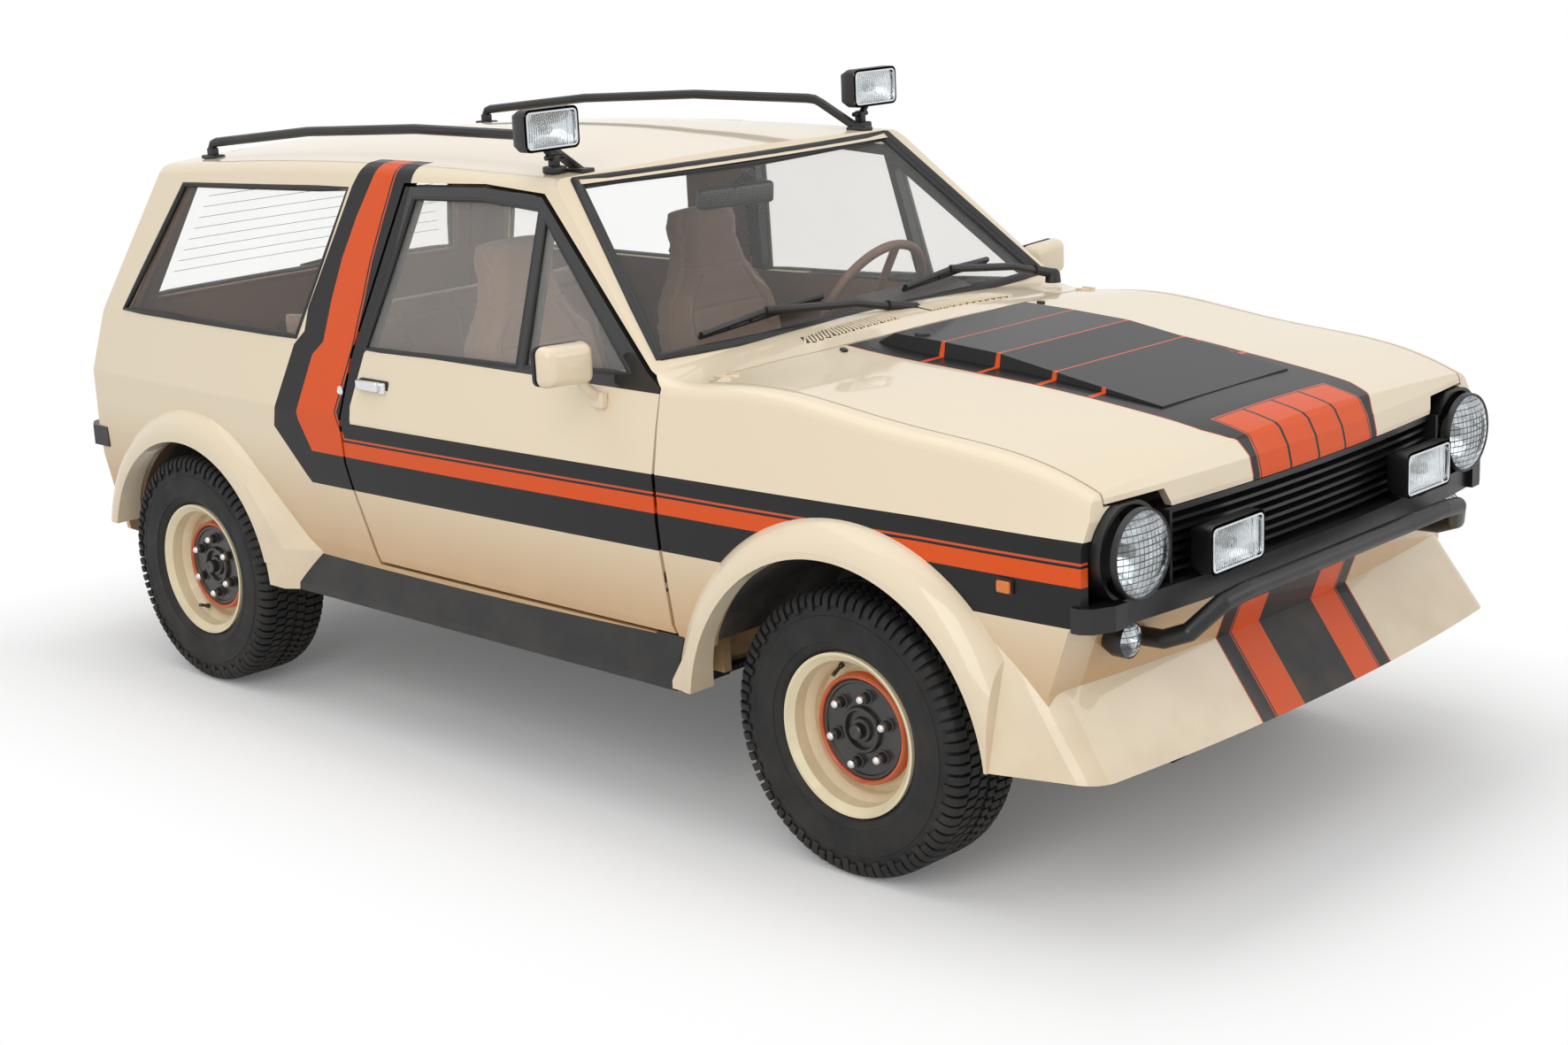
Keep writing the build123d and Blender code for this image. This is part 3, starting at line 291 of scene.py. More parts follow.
def buildBonnetStripes(tree):
    x, y = objectPoint(tree)[1:3]
    x = calc(tree, "ABSOLUTE", x)
    edge = polyLine(tree, y, [(-1.720, 0.236), (-1.690, 0.262), (-1.640, 0.281), (-1.380, 0.290),
                              (-1.100, 0.309), (-0.780, 0.313)])
    away = calc(tree, "SUBTRACT", edge, x)
    black = less(tree, 0.0, away)
    outline = allOf(tree, less(tree, 0.0, away), less(tree, away, 0.0035))
    crossing = 0.0
    for place in (-0.945, -1.098, -1.247, -1.372):
        offset = calc(tree, "ABSOLUTE", calc(tree, "SUBTRACT", y, place))
        reach = less(tree, 0.232, x) if place == -1.372 else 1.0
        width = ramp(tree, x, 0.222, 0.240, 0.002, 0.0065)
        crossing = anyOf(tree, crossing, allOf(tree, less(tree, offset, width), reach,
                                               less(tree, x, calc(tree, "SUBTRACT", edge, 0.006))))
    patch = allOf(tree, less(tree, x, 0.205), less(tree, y, -1.622))
    rim = allOf(tree, less(tree, x, 0.212), less(tree, y, -1.615))
    gap = allOf(tree, less(tree, x, 0.208), less(tree, y, -1.619))
    thinPatch = allOf(tree, rim, calc(tree, "SUBTRACT", 1.0, gap))
    slots = 0.0
    for place in (0.0, 0.103):
        slots = anyOf(tree, slots, less(tree, calc(tree, "ABSOLUTE", calc(tree, "SUBTRACT", x, place)),
                                        0.004))
    patch = allOf(tree, patch, calc(tree, "SUBTRACT", 1.0, slots))
    return black, anyOf(tree, crossing, patch), anyOf(tree, outline, thinPatch)


def buildWheelRadius(tree):             # distance from the nearest wheel's middle, seen from the side
    y, z = objectPoint(tree)[2:]
    along = calc(tree, "SUBTRACT", calc(tree, "ABSOLUTE", calc(tree, "SUBTRACT", y, 0.0655)), 1.143)
    rise = calc(tree, "SUBTRACT", z, 0.310)
    squares = calc(tree, "ADD", calc(tree, "MULTIPLY", along, along), calc(tree, "MULTIPLY", rise, rise))
    return [calc(tree, "SQRT", squares)]


grain = shaderGroup("grain", {"Fine": 400.0, "Coarse": 6.0}, ("Height", "Patches"), buildGrain)
roadDust = shaderGroup("roadDust", {"Top": 0.7, "Bottom": 0.2, "Amount": 0.3}, ("Mask",), buildDust)
insideFaces = shaderGroup("insideFaces", {}, ("side", "tail", "bayShade", "lining"), buildInside)
sideStripes = shaderGroup("sideStripes", {}, ("Black", "Orange", "Thin"), buildSideStripes)
centreStripes = shaderGroup("centreStripes", {}, ("Black", "Orange", "Thin"), buildCentreStripes)
bonnetStripes = shaderGroup("bonnetStripes", {}, ("Black", "Orange", "Thin"), buildBonnetStripes)
wheelRadius = shaderGroup("wheelRadius", {}, ("Radius",), buildWheelRadius)

# the bay colour is the cream paint darkened: painted shade for the wing faces that look into the engine bay
paint = {"cream": colour(232, 216, 188), "tan": colour(200, 160, 110), "orange": colour(220, 80, 8),
         "thinOrange": colour(204, 84, 44), "black": colour(16, 15, 16), "trim": colour(112, 84, 66),
         "lining": colour(168, 150, 128), "bayShade": colour(196, 182, 156), "frame": colour(22, 22, 23)}


def paintMaterial(name, stripes=None, tanTop=0.72, tanBottom=0.44, tanAmount=0.95, inside=None,
                  frameAbove=None):
    material, tree, sockets = newMaterial(name, Coat_Roughness=0.05, Coat_IOR=1.5, Specular_IOR_Level=0.25)
    z = objectPoint(tree)[3]
    height, patches = useGroup(tree, grain, Fine=260.0, Coarse=2.2)
    cream = mixColour(tree, ramp(tree, patches, 0.3, 0.7, 0.0, 0.35), paint["cream"], colour(230, 213, 184))
    base = mixColour(tree, ramp(tree, z, tanTop, tanBottom, 0.0, tanAmount), cream, paint["tan"])
    if stripes:
        black, orange, thin = useGroup(tree, stripes)
        base = mixColour(tree, black, base, paint["black"])
        base = mixColour(tree, thin, base, paint["thinOrange"])
        base = mixColour(tree, orange, base, paint["orange"])
        tape = calc(tree, "MULTIPLY", anyOf(tree, black, orange), 0.58)
    dust = useGroup(tree, roadDust, Top=0.62, Bottom=0.33, Amount=0.16)[0]
    base = mixColour(tree, dust, base, colour(150, 128, 100))
    dull = dust
    if frameAbove:
        frame = less(tree, frameAbove, z)
        base = mixColour(tree, frame, base, paint["frame"])
    if inside:
        mask = dict(zip(("side", "tail", "bayShade", "lining"), useGroup(tree, insideFaces)))[inside]
        if frameAbove:
            mask = allOf(tree, mask, less(tree, z, frameAbove))
        base = mixColour(tree, mask, base, paint.get(inside, paint["trim"]))
        dull = anyOf(tree, dull, mask)
    feed(tree, sockets["Base Color"], base)
    feed(tree, sockets["Roughness"], mixValue(tree, dull, 0.42, 0.8))
    gloss = calc(tree, "SUBTRACT", 0.75, tape) if stripes else 0.75
    feed(tree, sockets["Coat Weight"], mixValue(tree, dull, gloss, 0.0))
    feed(tree, sockets["Normal"], bumpFrom(tree, height, 0.05, 0.0006))
    return material


# two colours, as red, green and blue, in soft patches
def plainMaterial(name, base, second, rough=(0.5, 0.65), fine=500.0, coarse=8.0, bump=0.25, depth=0.0008,
                  dust=None, paintedBehind=None, **values):
    material, tree, sockets = newMaterial(name, **values)
    height, patches = useGroup(tree, grain, Fine=fine, Coarse=coarse)
    shade = mixColour(tree, ramp(tree, patches, 0.3, 0.7), colour(*base), colour(*second))
    if dust:
        mask = useGroup(tree, roadDust, Top=dust[0], Bottom=dust[1], Amount=dust[2])[0]
        shade = mixColour(tree, mask, shade, colour(140, 122, 98))
    if paintedBehind:
        shade = mixColour(tree, less(tree, paintedBehind, objectPoint(tree)[2]), shade, paint["tan"])
    feed(tree, sockets["Base Color"], shade)
    feed(tree, sockets["Roughness"], ramp(tree, patches, 0.3, 0.7, rough[0], rough[1]))
    feed(tree, sockets["Normal"], bumpFrom(tree, height, bump, depth))
    return material


def glassMaterial(name, tint, rough=0.0, ior=1.45, haze=0.0):
    material, tree, sockets = newMaterial(name, Transmission_Weight=1.0 - haze, IOR=ior, Roughness=rough)
    patches = useGroup(tree, grain, Fine=30.0, Coarse=3.0)[1]
    lighter = tuple(min(1, v * 1.05) for v in tint[:3]) + (1,)
    feed(tree, sockets["Base Color"], mixColour(tree, patches, tint, lighter))
    feed(tree, sockets["Normal"], bumpFrom(tree, patches, 0.02, 0.001))
    output = tree.nodes["Material Output"]
    clear = addNode(tree, "ShaderNodeBsdfTransparent")
    clear.inputs[0].default_value = tint
    path = addNode(tree, "ShaderNodeLightPath")
    mix = addNode(tree, "ShaderNodeMixShader")
    tree.links.new(path.outputs["Is Shadow Ray"], mix.inputs[0])
    tree.links.new(tree.nodes["Principled BSDF"].outputs[0], mix.inputs[1])
    tree.links.new(clear.outputs[0], mix.inputs[2])
    tree.links.new(mix.outputs[0], output.inputs[0])
    return material


def wheelMaterial():
    material, tree, sockets = newMaterial("wheelPaint", Coat_Roughness=0.08)
    radius = useGroup(tree, wheelRadius)[0]
    height, patches = useGroup(tree, grain, Fine=300.0, Coarse=14.0)
    base = mixColour(tree, patches, colour(236, 224, 190), colour(226, 210, 170))
    base = mixColour(tree, less(tree, radius, 0.121), base, paint["orange"])
    base = mixColour(tree, less(tree, radius, 0.112), base, colour(30, 29, 30))
    dust = useGroup(tree, roadDust, Top=0.62, Bottom=0.1, Amount=0.2)[0]
    base = mixColour(tree, dust, base, colour(140, 122, 98))
    feed(tree, sockets["Base Color"], base)
    feed(tree, sockets["Roughness"], mixValue(tree, dust, 0.38, 0.8))
    feed(tree, sockets["Coat Weight"], mixValue(tree, dust, 0.5, 0.0))
    feed(tree, sockets["Normal"], bumpFrom(tree, height, 0.06, 0.0006))
    return material


underside = ((24, 23, 23), (44, 40, 37), (0.6, 0.85), 120.0, 5.0, 0.5, 0.002)
mats = {
    "side": paintMaterial("sidePaint", sideStripes, inside="side"),
    "door": paintMaterial("doorPaint", sideStripes, inside="side", frameAbove=0.972),
    # wing faces that look into the engine bay get the bay colour, which is painted shade
    "wing": paintMaterial("wingPaint", sideStripes, inside="bayShade"),
    "plain": paintMaterial("plainPaint"),
    "tail": paintMaterial("tailPaint", inside="tail"),
    "roof": paintMaterial("roofPaint", sideStripes, inside="lining"),
    "flare": paintMaterial("flarePaint", tanTop=0.55, tanBottom=0.2, tanAmount=0.35),
    "skirt": paintMaterial("skirtPaint", centreStripes, tanTop=0.55, tanBottom=0.2, tanAmount=0.3),
    "valance": paintMaterial("valancePaint", centreStripes, tanTop=0.70, tanBottom=0.6),
    "bonnet": paintMaterial("bonnetPaint", bonnetStripes, inside="lining"),
    "rubber": plainMaterial("sealRubber", (22, 22, 23), (34, 34, 35), (0.45, 0.6)),
    "blackTrim": plainMaterial("blackTrim", (14, 14, 15), (22, 22, 23), (0.32, 0.5), bump=0.15,
                               dust=(0.7, 0.3, 0.07)),
    "underbody": plainMaterial("underbody", *underside, dust=(0.9, 0.2, 0.4)),
    "floor": plainMaterial("floorPan", *underside, paintedBehind=1.69),
    "engine": plainMaterial("engineMetal", (70, 70, 72), (104, 102, 100), (0.35, 0.6), 160.0, 12.0, 0.4,
                            Metallic=0.8),
    "exhaust": plainMaterial("exhaustSteel", (74, 72, 70), (104, 99, 94), (0.35, 0.6), 220.0, 14.0, 0.3,
                             Metallic=0.9),
    "tyre": plainMaterial("tyreRubber", (11, 11, 12), (18, 17, 17), (0.62, 0.8), 340.0, 16.0, 0.35, 0.0012,
                          dust=(0.62, 0.0, 0.06)),
    "chrome": plainMaterial("chrome", (225, 226, 228), (214, 216, 220), (0.04, 0.12), 300.0, 10.0, 0.02,
                            Metallic=1.0),
    "brown": plainMaterial("brownPlastic", (84, 58, 43), (98, 69, 52), (0.5, 0.68), 600.0, 6.0, 0.4),
    "dash": plainMaterial("dashBlack", (30, 27, 26), (42, 37, 34), (0.5, 0.7), 600.0, 6.0, 0.4),
    "seat": plainMaterial("seatCloth", (134, 108, 90), (122, 97, 80), (0.8, 0.95), 420.0, 3.0, 0.12,
                          0.0004, Sheen_Weight=0.3),
    "carpet": plainMaterial("carpet", (70, 52, 42), (54, 40, 32), (0.9, 1.0), 900.0, 20.0, 0.8, 0.003),
    "glass": glassMaterial("windowGlass", colour(251, 252, 250), ior=1.12, haze=0.025),
    "darkGlass": glassMaterial("sideGlass", colour(240, 238, 235), ior=1.12, haze=0.09),
    "lamp": glassMaterial("lampGlass", colour(245, 246, 248)),
    "red": plainMaterial("redLens", (150, 18, 14), (120, 12, 10), (0.12, 0.2), 300.0, 10.0, 0.05,
                         Coat_Weight=0.6),
    "wheel": wheelMaterial(),
    "orange": plainMaterial("orangeRing", (206, 92, 48), (190, 82, 42), (0.4, 0.55), 260.0, 20.0, 0.08,
                            dust=(0.5, 0.1, 0.2), Coat_Weight=0.3),
    "glossBlack": plainMaterial("hubBlack", (30, 29, 29), (40, 38, 37), (0.28, 0.42), 260.0, 20.0, 0.1,
                                dust=(0.5, 0.0, 0.15), Coat_Weight=0.3),
    "mirror": plainMaterial("lampBowl", (232, 234, 236), (214, 217, 220), (0.12, 0.2), 300.0, 30.0, 0.05,
                            Metallic=1.0),
    "lens": glassMaterial("lampLens", colour(240, 243, 244), 0.04),
    "bulb": plainMaterial("bulbGlass", (176, 176, 172), (150, 150, 148), (0.1, 0.2), 300.0, 30.0, 0.05,
                          Metallic=0.6),
    "guard": plainMaterial("lensGrid", (66, 68, 70), (54, 55, 57), (0.4, 0.5), 300.0, 30.0, 0.05),
    "amber": plainMaterial("amberLens", (222, 120, 30), (204, 104, 24), (0.15, 0.25), 300.0, 40.0, 0.1,
                           Coat_Weight=0.5),
    "white": plainMaterial("blankPlate", (232, 232, 226), (222, 222, 214), (0.4, 0.5), 300.0, 20.0, 0.1),
}
nodeFinish = {
    "side": ["side_panels"], "door": ["door_left", "door_right"], "wing": ["front_wings"],
    "plain": ["scuttle_panel", "door_mirror_left", "door_mirror_right"], "tail": ["tailgate", "rear_panel"],
    "roof": ["roof_panel"], "flare": ["rear_flares"], "skirt": ["front_skirt"], "valance": ["front_valance"],
    "bonnet": ["bonnet"], "blackTrim": ["grille", "sill_covers", "front_bumper", "rear_bumper", "push_bar",
                                        "roof_rails", "wipers"],
    "floor": ["floor_pan"],
    "underbody": ["arch_liners", "front_arms", "rear_axle", "fuel_tank", "knuckle_left", "knuckle_right"],
    "engine": ["engine"], "exhaust": ["exhaust"], "seat": ["front_seats", "rear_seat"],
    "brown": ["steering_wheel"], "dash": ["dashboard", "steering_column"],
    "glass": ["fixed_glass", "tailgate_glass"], "darkGlass": ["door_glass_left", "door_glass_right"],
    "lamp": ["headlamps", "driving_lamps"], "red": ["tail_lamps"],
    "tyre": [n for n in nodes if n.startswith("tyre_")], "wheel": [n for n in nodes if n.startswith("rim_")],
}
for finish, names in nodeFinish.items():
    for name in names:
        mesh = nodes[name].data
        mesh.materials.clear()
        mesh.materials.append(mats[finish])
print("materials:", len(mats))


# the finish slot that goes with each material, unless a piece names another
slots = {"brown_plastic": ("dash", "glossBlack", "orange", "brown", "carpet"), "cream_paint": ("plain",),
         "exhaust_steel": ("chrome", "exhaust"), "lamp_glass": ("mirror", "lens", "bulb", "white"),
         "tail_lens": ("amber", "red"), "engine_metal": ("engine",), "underbody": ("underbody",),
         "black_trim": ("blackTrim", "rubber", "guard")}
slotOf = {material: slot for slot, materials in slots.items() for material in materials}


def newPiece(name, bm, material, body="root", finish=None, sharp=38):
    finish = finish or slotOf[material]
    mesh = bpy.data.meshes.new(name)
    bm.to_mesh(mesh)
    bm.free()
    mesh.materials.append(mats[material])
    mesh.shade_smooth()
    mesh.set_sharp_from_angle(angle=math.radians(sharp))
    piece = bpy.data.objects.new(name, mesh)
    bpy.context.scene.collection.objects.link(piece)
    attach(piece, body)
    return piece


def mergeIn(target, source):            # adds one bmesh to another and frees it
    mesh = bpy.data.meshes.new("passing")
    source.to_mesh(mesh)
    source.free()
    target.from_mesh(mesh)
    bpy.data.meshes.remove(mesh)


def lathe(profile, steps=48, closed=False):        # profile of (along, radius) turned about the X axis
    bm = bmesh.new()
    points = [bm.verts.new((along, 0, radius)) for along, radius in profile]
    edges = [bm.edges.new(pair) for pair in zip(points, points[1:])]
    if closed:
        edges.append(bm.edges.new((points[-1], points[0])))
    bmesh.ops.spin(bm, geom=points + edges, cent=(0, 0, 0), axis=(1, 0, 0), angle=math.tau, steps=steps,
                   use_merge=True)
    bmesh.ops.remove_doubles(bm, verts=bm.verts, dist=1e-6)
    bmesh.ops.dissolve_degenerate(bm, edges=bm.edges, dist=1e-6)
    bmesh.ops.recalc_face_normals(bm, faces=bm.faces)
    return bm


def roundBox(first, second, radius=0.004, segments=3):      # between any two opposite corners
    bm = bmesh.new()
    low, high = (Vector([pick(pair) for pair in zip(first, second)]) for pick in (min, max))
    bmesh.ops.create_cube(bm, size=1.0)
    bmesh.ops.scale(bm, verts=bm.verts, vec=high - low)
    bmesh.ops.translate(bm, verts=bm.verts, vec=(low + high) / 2)
    bmesh.ops.bevel(bm, geom=bm.edges[:], offset=radius, segments=segments, profile=0.5, affect="EDGES",
                    material=-1)
    return bm


def frontGrid(across, upward):          # a unit grid in the XZ plane, facing forward
    bm = bmesh.new()
    bmesh.ops.create_grid(bm, x_segments=across, y_segments=upward, size=0.5)
    bmesh.ops.rotate(bm, verts=bm.verts, cent=(0, 0, 0), matrix=Matrix.Rotation(math.pi / 2, 3, "X"))
    return bm


def thicken(bm, depth):                 # carries a face back along +Y
    grown = bmesh.ops.extrude_face_region(bm, geom=bm.faces[:])
    back = [v for v in grown["geom"] if isinstance(v, bmesh.types.BMVert)]
    bmesh.ops.translate(bm, verts=back, vec=(0, depth, 0))
    bmesh.ops.recalc_face_normals(bm, faces=bm.faces)
    return bm


# rounded frame in the XZ plane, front at y = 0
def frameBox(width, height, depth, corner, wall, segments=5):
    bm = frontGrid(1, 1)
    bmesh.ops.scale(bm, verts=bm.verts, vec=(width, 1, height))
    bmesh.ops.bevel(bm, geom=bm.verts[:], offset=corner, segments=segments, profile=0.5, affect="VERTICES",
                    material=-1)
    if wall:
        inner = bmesh.ops.inset_region(bm, faces=bm.faces[:], thickness=wall, use_even_offset=True,
                                       use_boundary=True)
        ring = set(inner["faces"])
        bmesh.ops.delete(bm, geom=[f for f in bm.faces if f not in ring], context="FACES_ONLY")
    return thicken(bm, depth)


def sweep(points, radius, closed=False, sides=3, smooth=False):
    curve = bpy.data.curves.new("passing", "CURVE")
    curve.dimensions = "3D"
    curve.bevel_depth = radius
    curve.bevel_resolution = sides
    curve.use_fill_caps = True
    spline = curve.splines.new("NURBS" if smooth else "POLY")
    spline.points.add(len(points) - 1)
    for knot, place in zip(spline.points, points):
        knot.co = (*place, 1.0)
    spline.use_cyclic_u = closed
    if smooth:
        spline.order_u = 3
        spline.use_endpoint_u = not closed
        curve.resolution_u = 6
    holder = bpy.data.objects.new("passing", curve)
    mesh = bpy.data.meshes.new_from_object(holder)
    bm = bmesh.new()
    bm.from_mesh(mesh)
    bpy.data.objects.remove(holder)
    bpy.data.curves.remove(curve)
    bpy.data.meshes.remove(mesh)
    bmesh.ops.remove_doubles(bm, verts=bm.verts, dist=1e-6)
    bmesh.ops.recalc_face_normals(bm, faces=bm.faces)
    return bm


def turned(axis, degrees):
    return Matrix.Rotation(math.radians(degrees), 4, axis)


# where a lathed +X axis is turned to
toFront, toRear, upward = turned("Z", -90), turned("Z", 180), turned("Y", -90)


def moved(bm, place=(0, 0, 0), turn=None):
    if turn is not None:
        bmesh.ops.transform(bm, verts=bm.verts, matrix=turn)
        if turn.determinant() < 0:
            bmesh.ops.reverse_faces(bm, faces=bm.faces)
    bmesh.ops.translate(bm, verts=bm.verts, vec=place)
    return bm


def joinAll(*shapes):
    bm = bmesh.new()
    for shape in shapes:
        mergeIn(bm, shape)
    return bm


surfaceTrees = {}
outside, above, behind = 1.2, 1.3, 2.4      # where rays start, clear of the body


def onSurface(node, start, direction):  # where a line from start meets a CAD node
    if node not in surfaceTrees:
        mesh = nodes[node].data
        surfaceTrees[node] = BVHTree.FromPolygons([v.co for v in mesh.vertices],
                                                  [p.vertices[:] for p in mesh.polygons])
    place, normal = surfaceTrees[node].ray_cast(Vector(start), Vector(direction).normalized())[:2]
    return (place, normal) if place else (Vector(start), -Vector(direction).normalized())


wheel = {"tyreHalf": 0.100, "pitches": 40, "axle": 0.310, "tyreDepth": 0.088, "discDepth": 0.054,
         "ringIn": 0.1095, "ringOut": 0.1195, "nutCircle": 0.0745, "nuts": 6}
wheelPlaces = {"front_left": (0.736, -1.0775, 1), "front_right": (-0.736, -1.0775, -1),
               "rear_left": (0.784, 1.2085, 1), "rear_right": (-0.784, 1.2085, -1)}


def lug(profile, start, width, skew=0.0, soft=0.0011):      # one tread block between two angles
    bm = bmesh.new()
    corners = [bm.verts.new((along, 0, radius)) for along, radius in profile]
    face = bm.faces.new(corners)
    bmesh.ops.rotate(bm, verts=corners, cent=(0, 0, 0), matrix=Matrix.Rotation(start, 3, "X"))
    bmesh.ops.spin(bm, geom=[face], cent=(0, 0, 0), axis=(1, 0, 0), angle=width, steps=1, dvec=(skew, 0, 0))
    bmesh.ops.recalc_face_normals(bm, faces=bm.faces)
    bmesh.ops.bevel(bm, geom=bm.edges[:], offset=soft, segments=1, profile=0.5, affect="EDGES", material=-1)
    return bm


def ringOfCopies(bm, count):
    bmesh.ops.spin(bm, geom=bm.verts[:] + bm.edges[:] + bm.faces[:], cent=(0, 0, 0), axis=(1, 0, 0),
                   angle=math.tau * (count - 1) / count, steps=count - 1, use_duplicate=True)
    return bm


def tyreShape():
    side = [(0.079, 0.166), (0.079, 0.1785), (0.0865, 0.185), (0.0915, 0.194), (0.0938, 0.200),
            (0.0965, 0.2015), (0.0972, 0.205), (0.0962, 0.208), (0.0975, 0.222), (0.0984, 0.240),
            (0.0978, 0.252), (0.0990, 0.2535), (0.0988, 0.257), (0.0968, 0.2585), (0.0945, 0.272),
            (0.090, 0.284), (0.084, 0.293), (0.076, 0.298), (0.052, 0.3003), (0.020, 0.3012)]
    outline = side + [(-u, r) for u, r in reversed(side)]
    tyre = lathe(outline, 96, closed=True)
    step = math.tau / wheel["pitches"]
    blocks = bmesh.new()
    longLug = [(0.060, 0.299), (0.060, 0.3090), (0.078, 0.3078), (0.0885, 0.3035), (0.0958, 0.2935),
               (wheel["tyreHalf"] - 0.0004, 0.272), (0.096, 0.268), (0.088, 0.284), (0.078, 0.296)]
    shortLug = [(0.062, 0.299), (0.062, 0.3090), (0.078, 0.3078), (0.0885, 0.3035), (0.0958, 0.2935),
                (0.0990, 0.281), (0.094, 0.277), (0.088, 0.284), (0.078, 0.296)]
    for side in (-1, 1):
        for shape, start in ((longLug, 0.0), (shortLug, 0.52)):
            profile = [(u * side, r) for u, r in shape]
            mergeIn(blocks, lug(profile, step * start, step * 0.36, 0.002 * side))
        for row, (middle, half) in enumerate(((0.042, 0.0135), (0.0135, 0.0105))):
            for part in range(2):
                low, high = (middle - half) * side, (middle + half) * side
                profile = [(low, 0.2995), (low, 0.3094), (high, 0.3090), (high, 0.2995)]
                start = step * (0.5 * part + 0.22 * row + (0.25 if side > 0 else 0.0))
                mergeIn(blocks, lug(profile, start, step * 0.37, 0.007 * side))
    mergeIn(tyre, ringOfCopies(blocks, wheel["pitches"]))
    return tyre


def hubShapes():                        # x = 0 at the disc's outer face, +x outward
    inner, outer = wheel["ringIn"], wheel["ringOut"]
    ring = lathe([(-0.004, outer), (0.007, outer), (0.0105, outer - 0.003), (0.0105, inner + 0.003),
                  (0.007, inner), (-0.004, inner)], 72, closed=True)
    plate = lathe([(0.0005, 0.0), (0.0015, 0.0), (0.0015, 0.040), (0.009, 0.041), (0.0115, 0.043),
                   (0.0115, 0.048), (0.009, 0.050), (0.0015, 0.052), (0.0015, 0.098), (0.0045, 0.100),
                   (0.0045, 0.106), (0.0015, 0.1085), (-0.003, 0.1085)], 64)
    cap = lathe([(0.001, 0.0), (0.026, 0.0), (0.030, 0.006), (0.030, 0.013), (0.027, 0.0165),
                 (0.011, 0.0175), (0.009, 0.024), (0.001, 0.028)], 32)
    nuts, bosses = bmesh.new(), bmesh.new()
    for turn in range(wheel["nuts"]):
        spin = Matrix.Rotation(math.tau * (turn + 0.35) / wheel["nuts"], 4, "X")
        place = spin @ Vector((0, 0, wheel["nutCircle"]))
        nut = lathe([(0.017, 0.0085), (0.020, 0.0100), (0.026, 0.0100), (0.030, 0.0080), (0.0325, 0.0045),
                     (0.0335, 0.0)], 6)
        bmesh.ops.subdivide_edges(nut, edges=nut.edges[:], cuts=1, use_grid_fill=True, smooth=0.4)
        mergeIn(nuts, moved(nut, place))
        boss = lathe([(0.0, 0.0165), (0.004, 0.0155), (0.005, 0.0125), (0.018, 0.0118), (0.0185, 0.0)], 24)
        mergeIn(bosses, moved(boss, place))
    valve = lathe([(0.0, 0.0065), (0.008, 0.006), (0.010, 0.0042), (0.026, 0.0040), (0.0265, 0.0048),
                   (0.036, 0.0045), (0.037, 0.0)], 16)
    valve = moved(valve, (0.004, -0.028, -0.139), turned("Y", -25))
    dark = joinAll(plate, cap, bosses, valve)
    return ring, dark, nuts


hubKinds = (("orangeRing_", "orange", "wheel_paint"), ("hubPlate_", "glossBlack", "wheel_paint"),
            ("wheelNuts_", "chrome", "exhaust_steel"))


def makeWheels():
    for name, (face, y, side) in wheelPlaces.items():
        body = "wheel_" + name
        spin = random.Random(name).random()
        turn = Matrix.Diagonal((side, 1, 1, 1)) @ Matrix.Rotation(spin * 3.0, 4, "X")
        tyre = moved(tyreShape(), (face - side * wheel["tyreDepth"], y, wheel["axle"]), turn)
        piece = newPiece("treadTyre_" + name, tyre, "tyre", body, "tyre", 30)
        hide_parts("tyre_" + name)
        place = (face - side * wheel["discDepth"], y, wheel["axle"])
        for shape, (kind, material, finish) in zip(hubShapes(), hubKinds):
            newPiece(kind + name, moved(shape, place, turn), material, body, finish)


makeWheels()
print("wheels ready")


lamps = {"head": (0.616, -1.737, 0.775, 0.088), "fog": (0.608, -1.700, 0.598, 0.036),
         "grille": (0.365, -1.7815, 0.748, 0.186, 0.100), "roof": (0.558, -0.0745, 1.506, 0.165, 0.097)}


def roundLamp(name, x, y, z, radius, grid):
    r = radius
    bowl = lathe([(-0.030 - r * 0.35, 0.0), (-0.028 - r * 0.35, r * 0.16), (-0.022 - r * 0.28, r * 0.45),
                  (-0.012 - r * 0.12, r * 0.75), (-0.004, r * 0.94)], 48)
    lens = lathe([(0.017, 0.0), (0.0155, r * 0.35), (0.0115, r * 0.65), (0.005, r * 0.88),
                  (-0.002, r * 0.97), (-0.005, r * 0.97), (-0.001, r * 0.86), (0.008, r * 0.6),
                  (0.012, r * 0.3), (0.0135, 0.0)], 56)
    rim = lathe([(-0.012, r), (-0.001, r), (0.003, r * 0.985), (0.001, r * 0.95), (-0.010, r * 0.95)], 56,
                closed=True)
    bulb = lathe([(-0.014 - r * 0.1, 0.0), (-0.018 - r * 0.1, r * 0.13), (-0.030 - r * 0.2, r * 0.15),
                  (-0.030 - r * 0.35, r * 0.13)], 20)
    wires = bmesh.new()
    count = 13 if grid > 0.05 else 6
    for row in range(1, count):
        offset = (row / count * 2 - 1) * r * 0.96
        reach = math.sqrt(max((r * 0.955) ** 2 - offset * offset, 0))
        for upright in (0, 1):
            line = []
            for step in range(13):
                across = (step / 6 - 1) * reach
                far = math.hypot(across, offset) / r
                line.append((0.0178 - 0.0195 * far ** 2.2,
                             *((across, offset) if upright else (offset, across))))
            mergeIn(wires, sweep(line, (0.0011 if upright else 0.0006) * min(1.0, 0.5 + grid * 6), sides=1))
    for kind, shape, material in (("Bowl_", bowl, "mirror"), ("Lens_", lens, "lens"),
                                  ("Rim_", rim, "blackTrim"), ("Bulb_", bulb, "bulb"),
                                  ("Guard_", wires, "guard")):
        yield newPiece(name[0] + kind + name[1], moved(shape, (x, y, z), toFront), material)


def flutedLens(width, height, corner, ribs):
    bm = frontGrid(ribs * 4, 10)
    for v in bm.verts:
        u, w = v.co.x * 2, v.co.z * 2
        bulge = 0.006 * (1 - u * u) * (1 - w * w) + 0.0007 * math.cos(u * math.pi * ribs)
        pull = max(0.0, abs(u) - 1 + corner) * max(0.0, abs(w) - 1 + corner)
        scale = 1 - pull * 1.2
        v.co = (u / 2 * width * scale, -bulge, w / 2 * height * scale)
    return thicken(bm, 0.004)


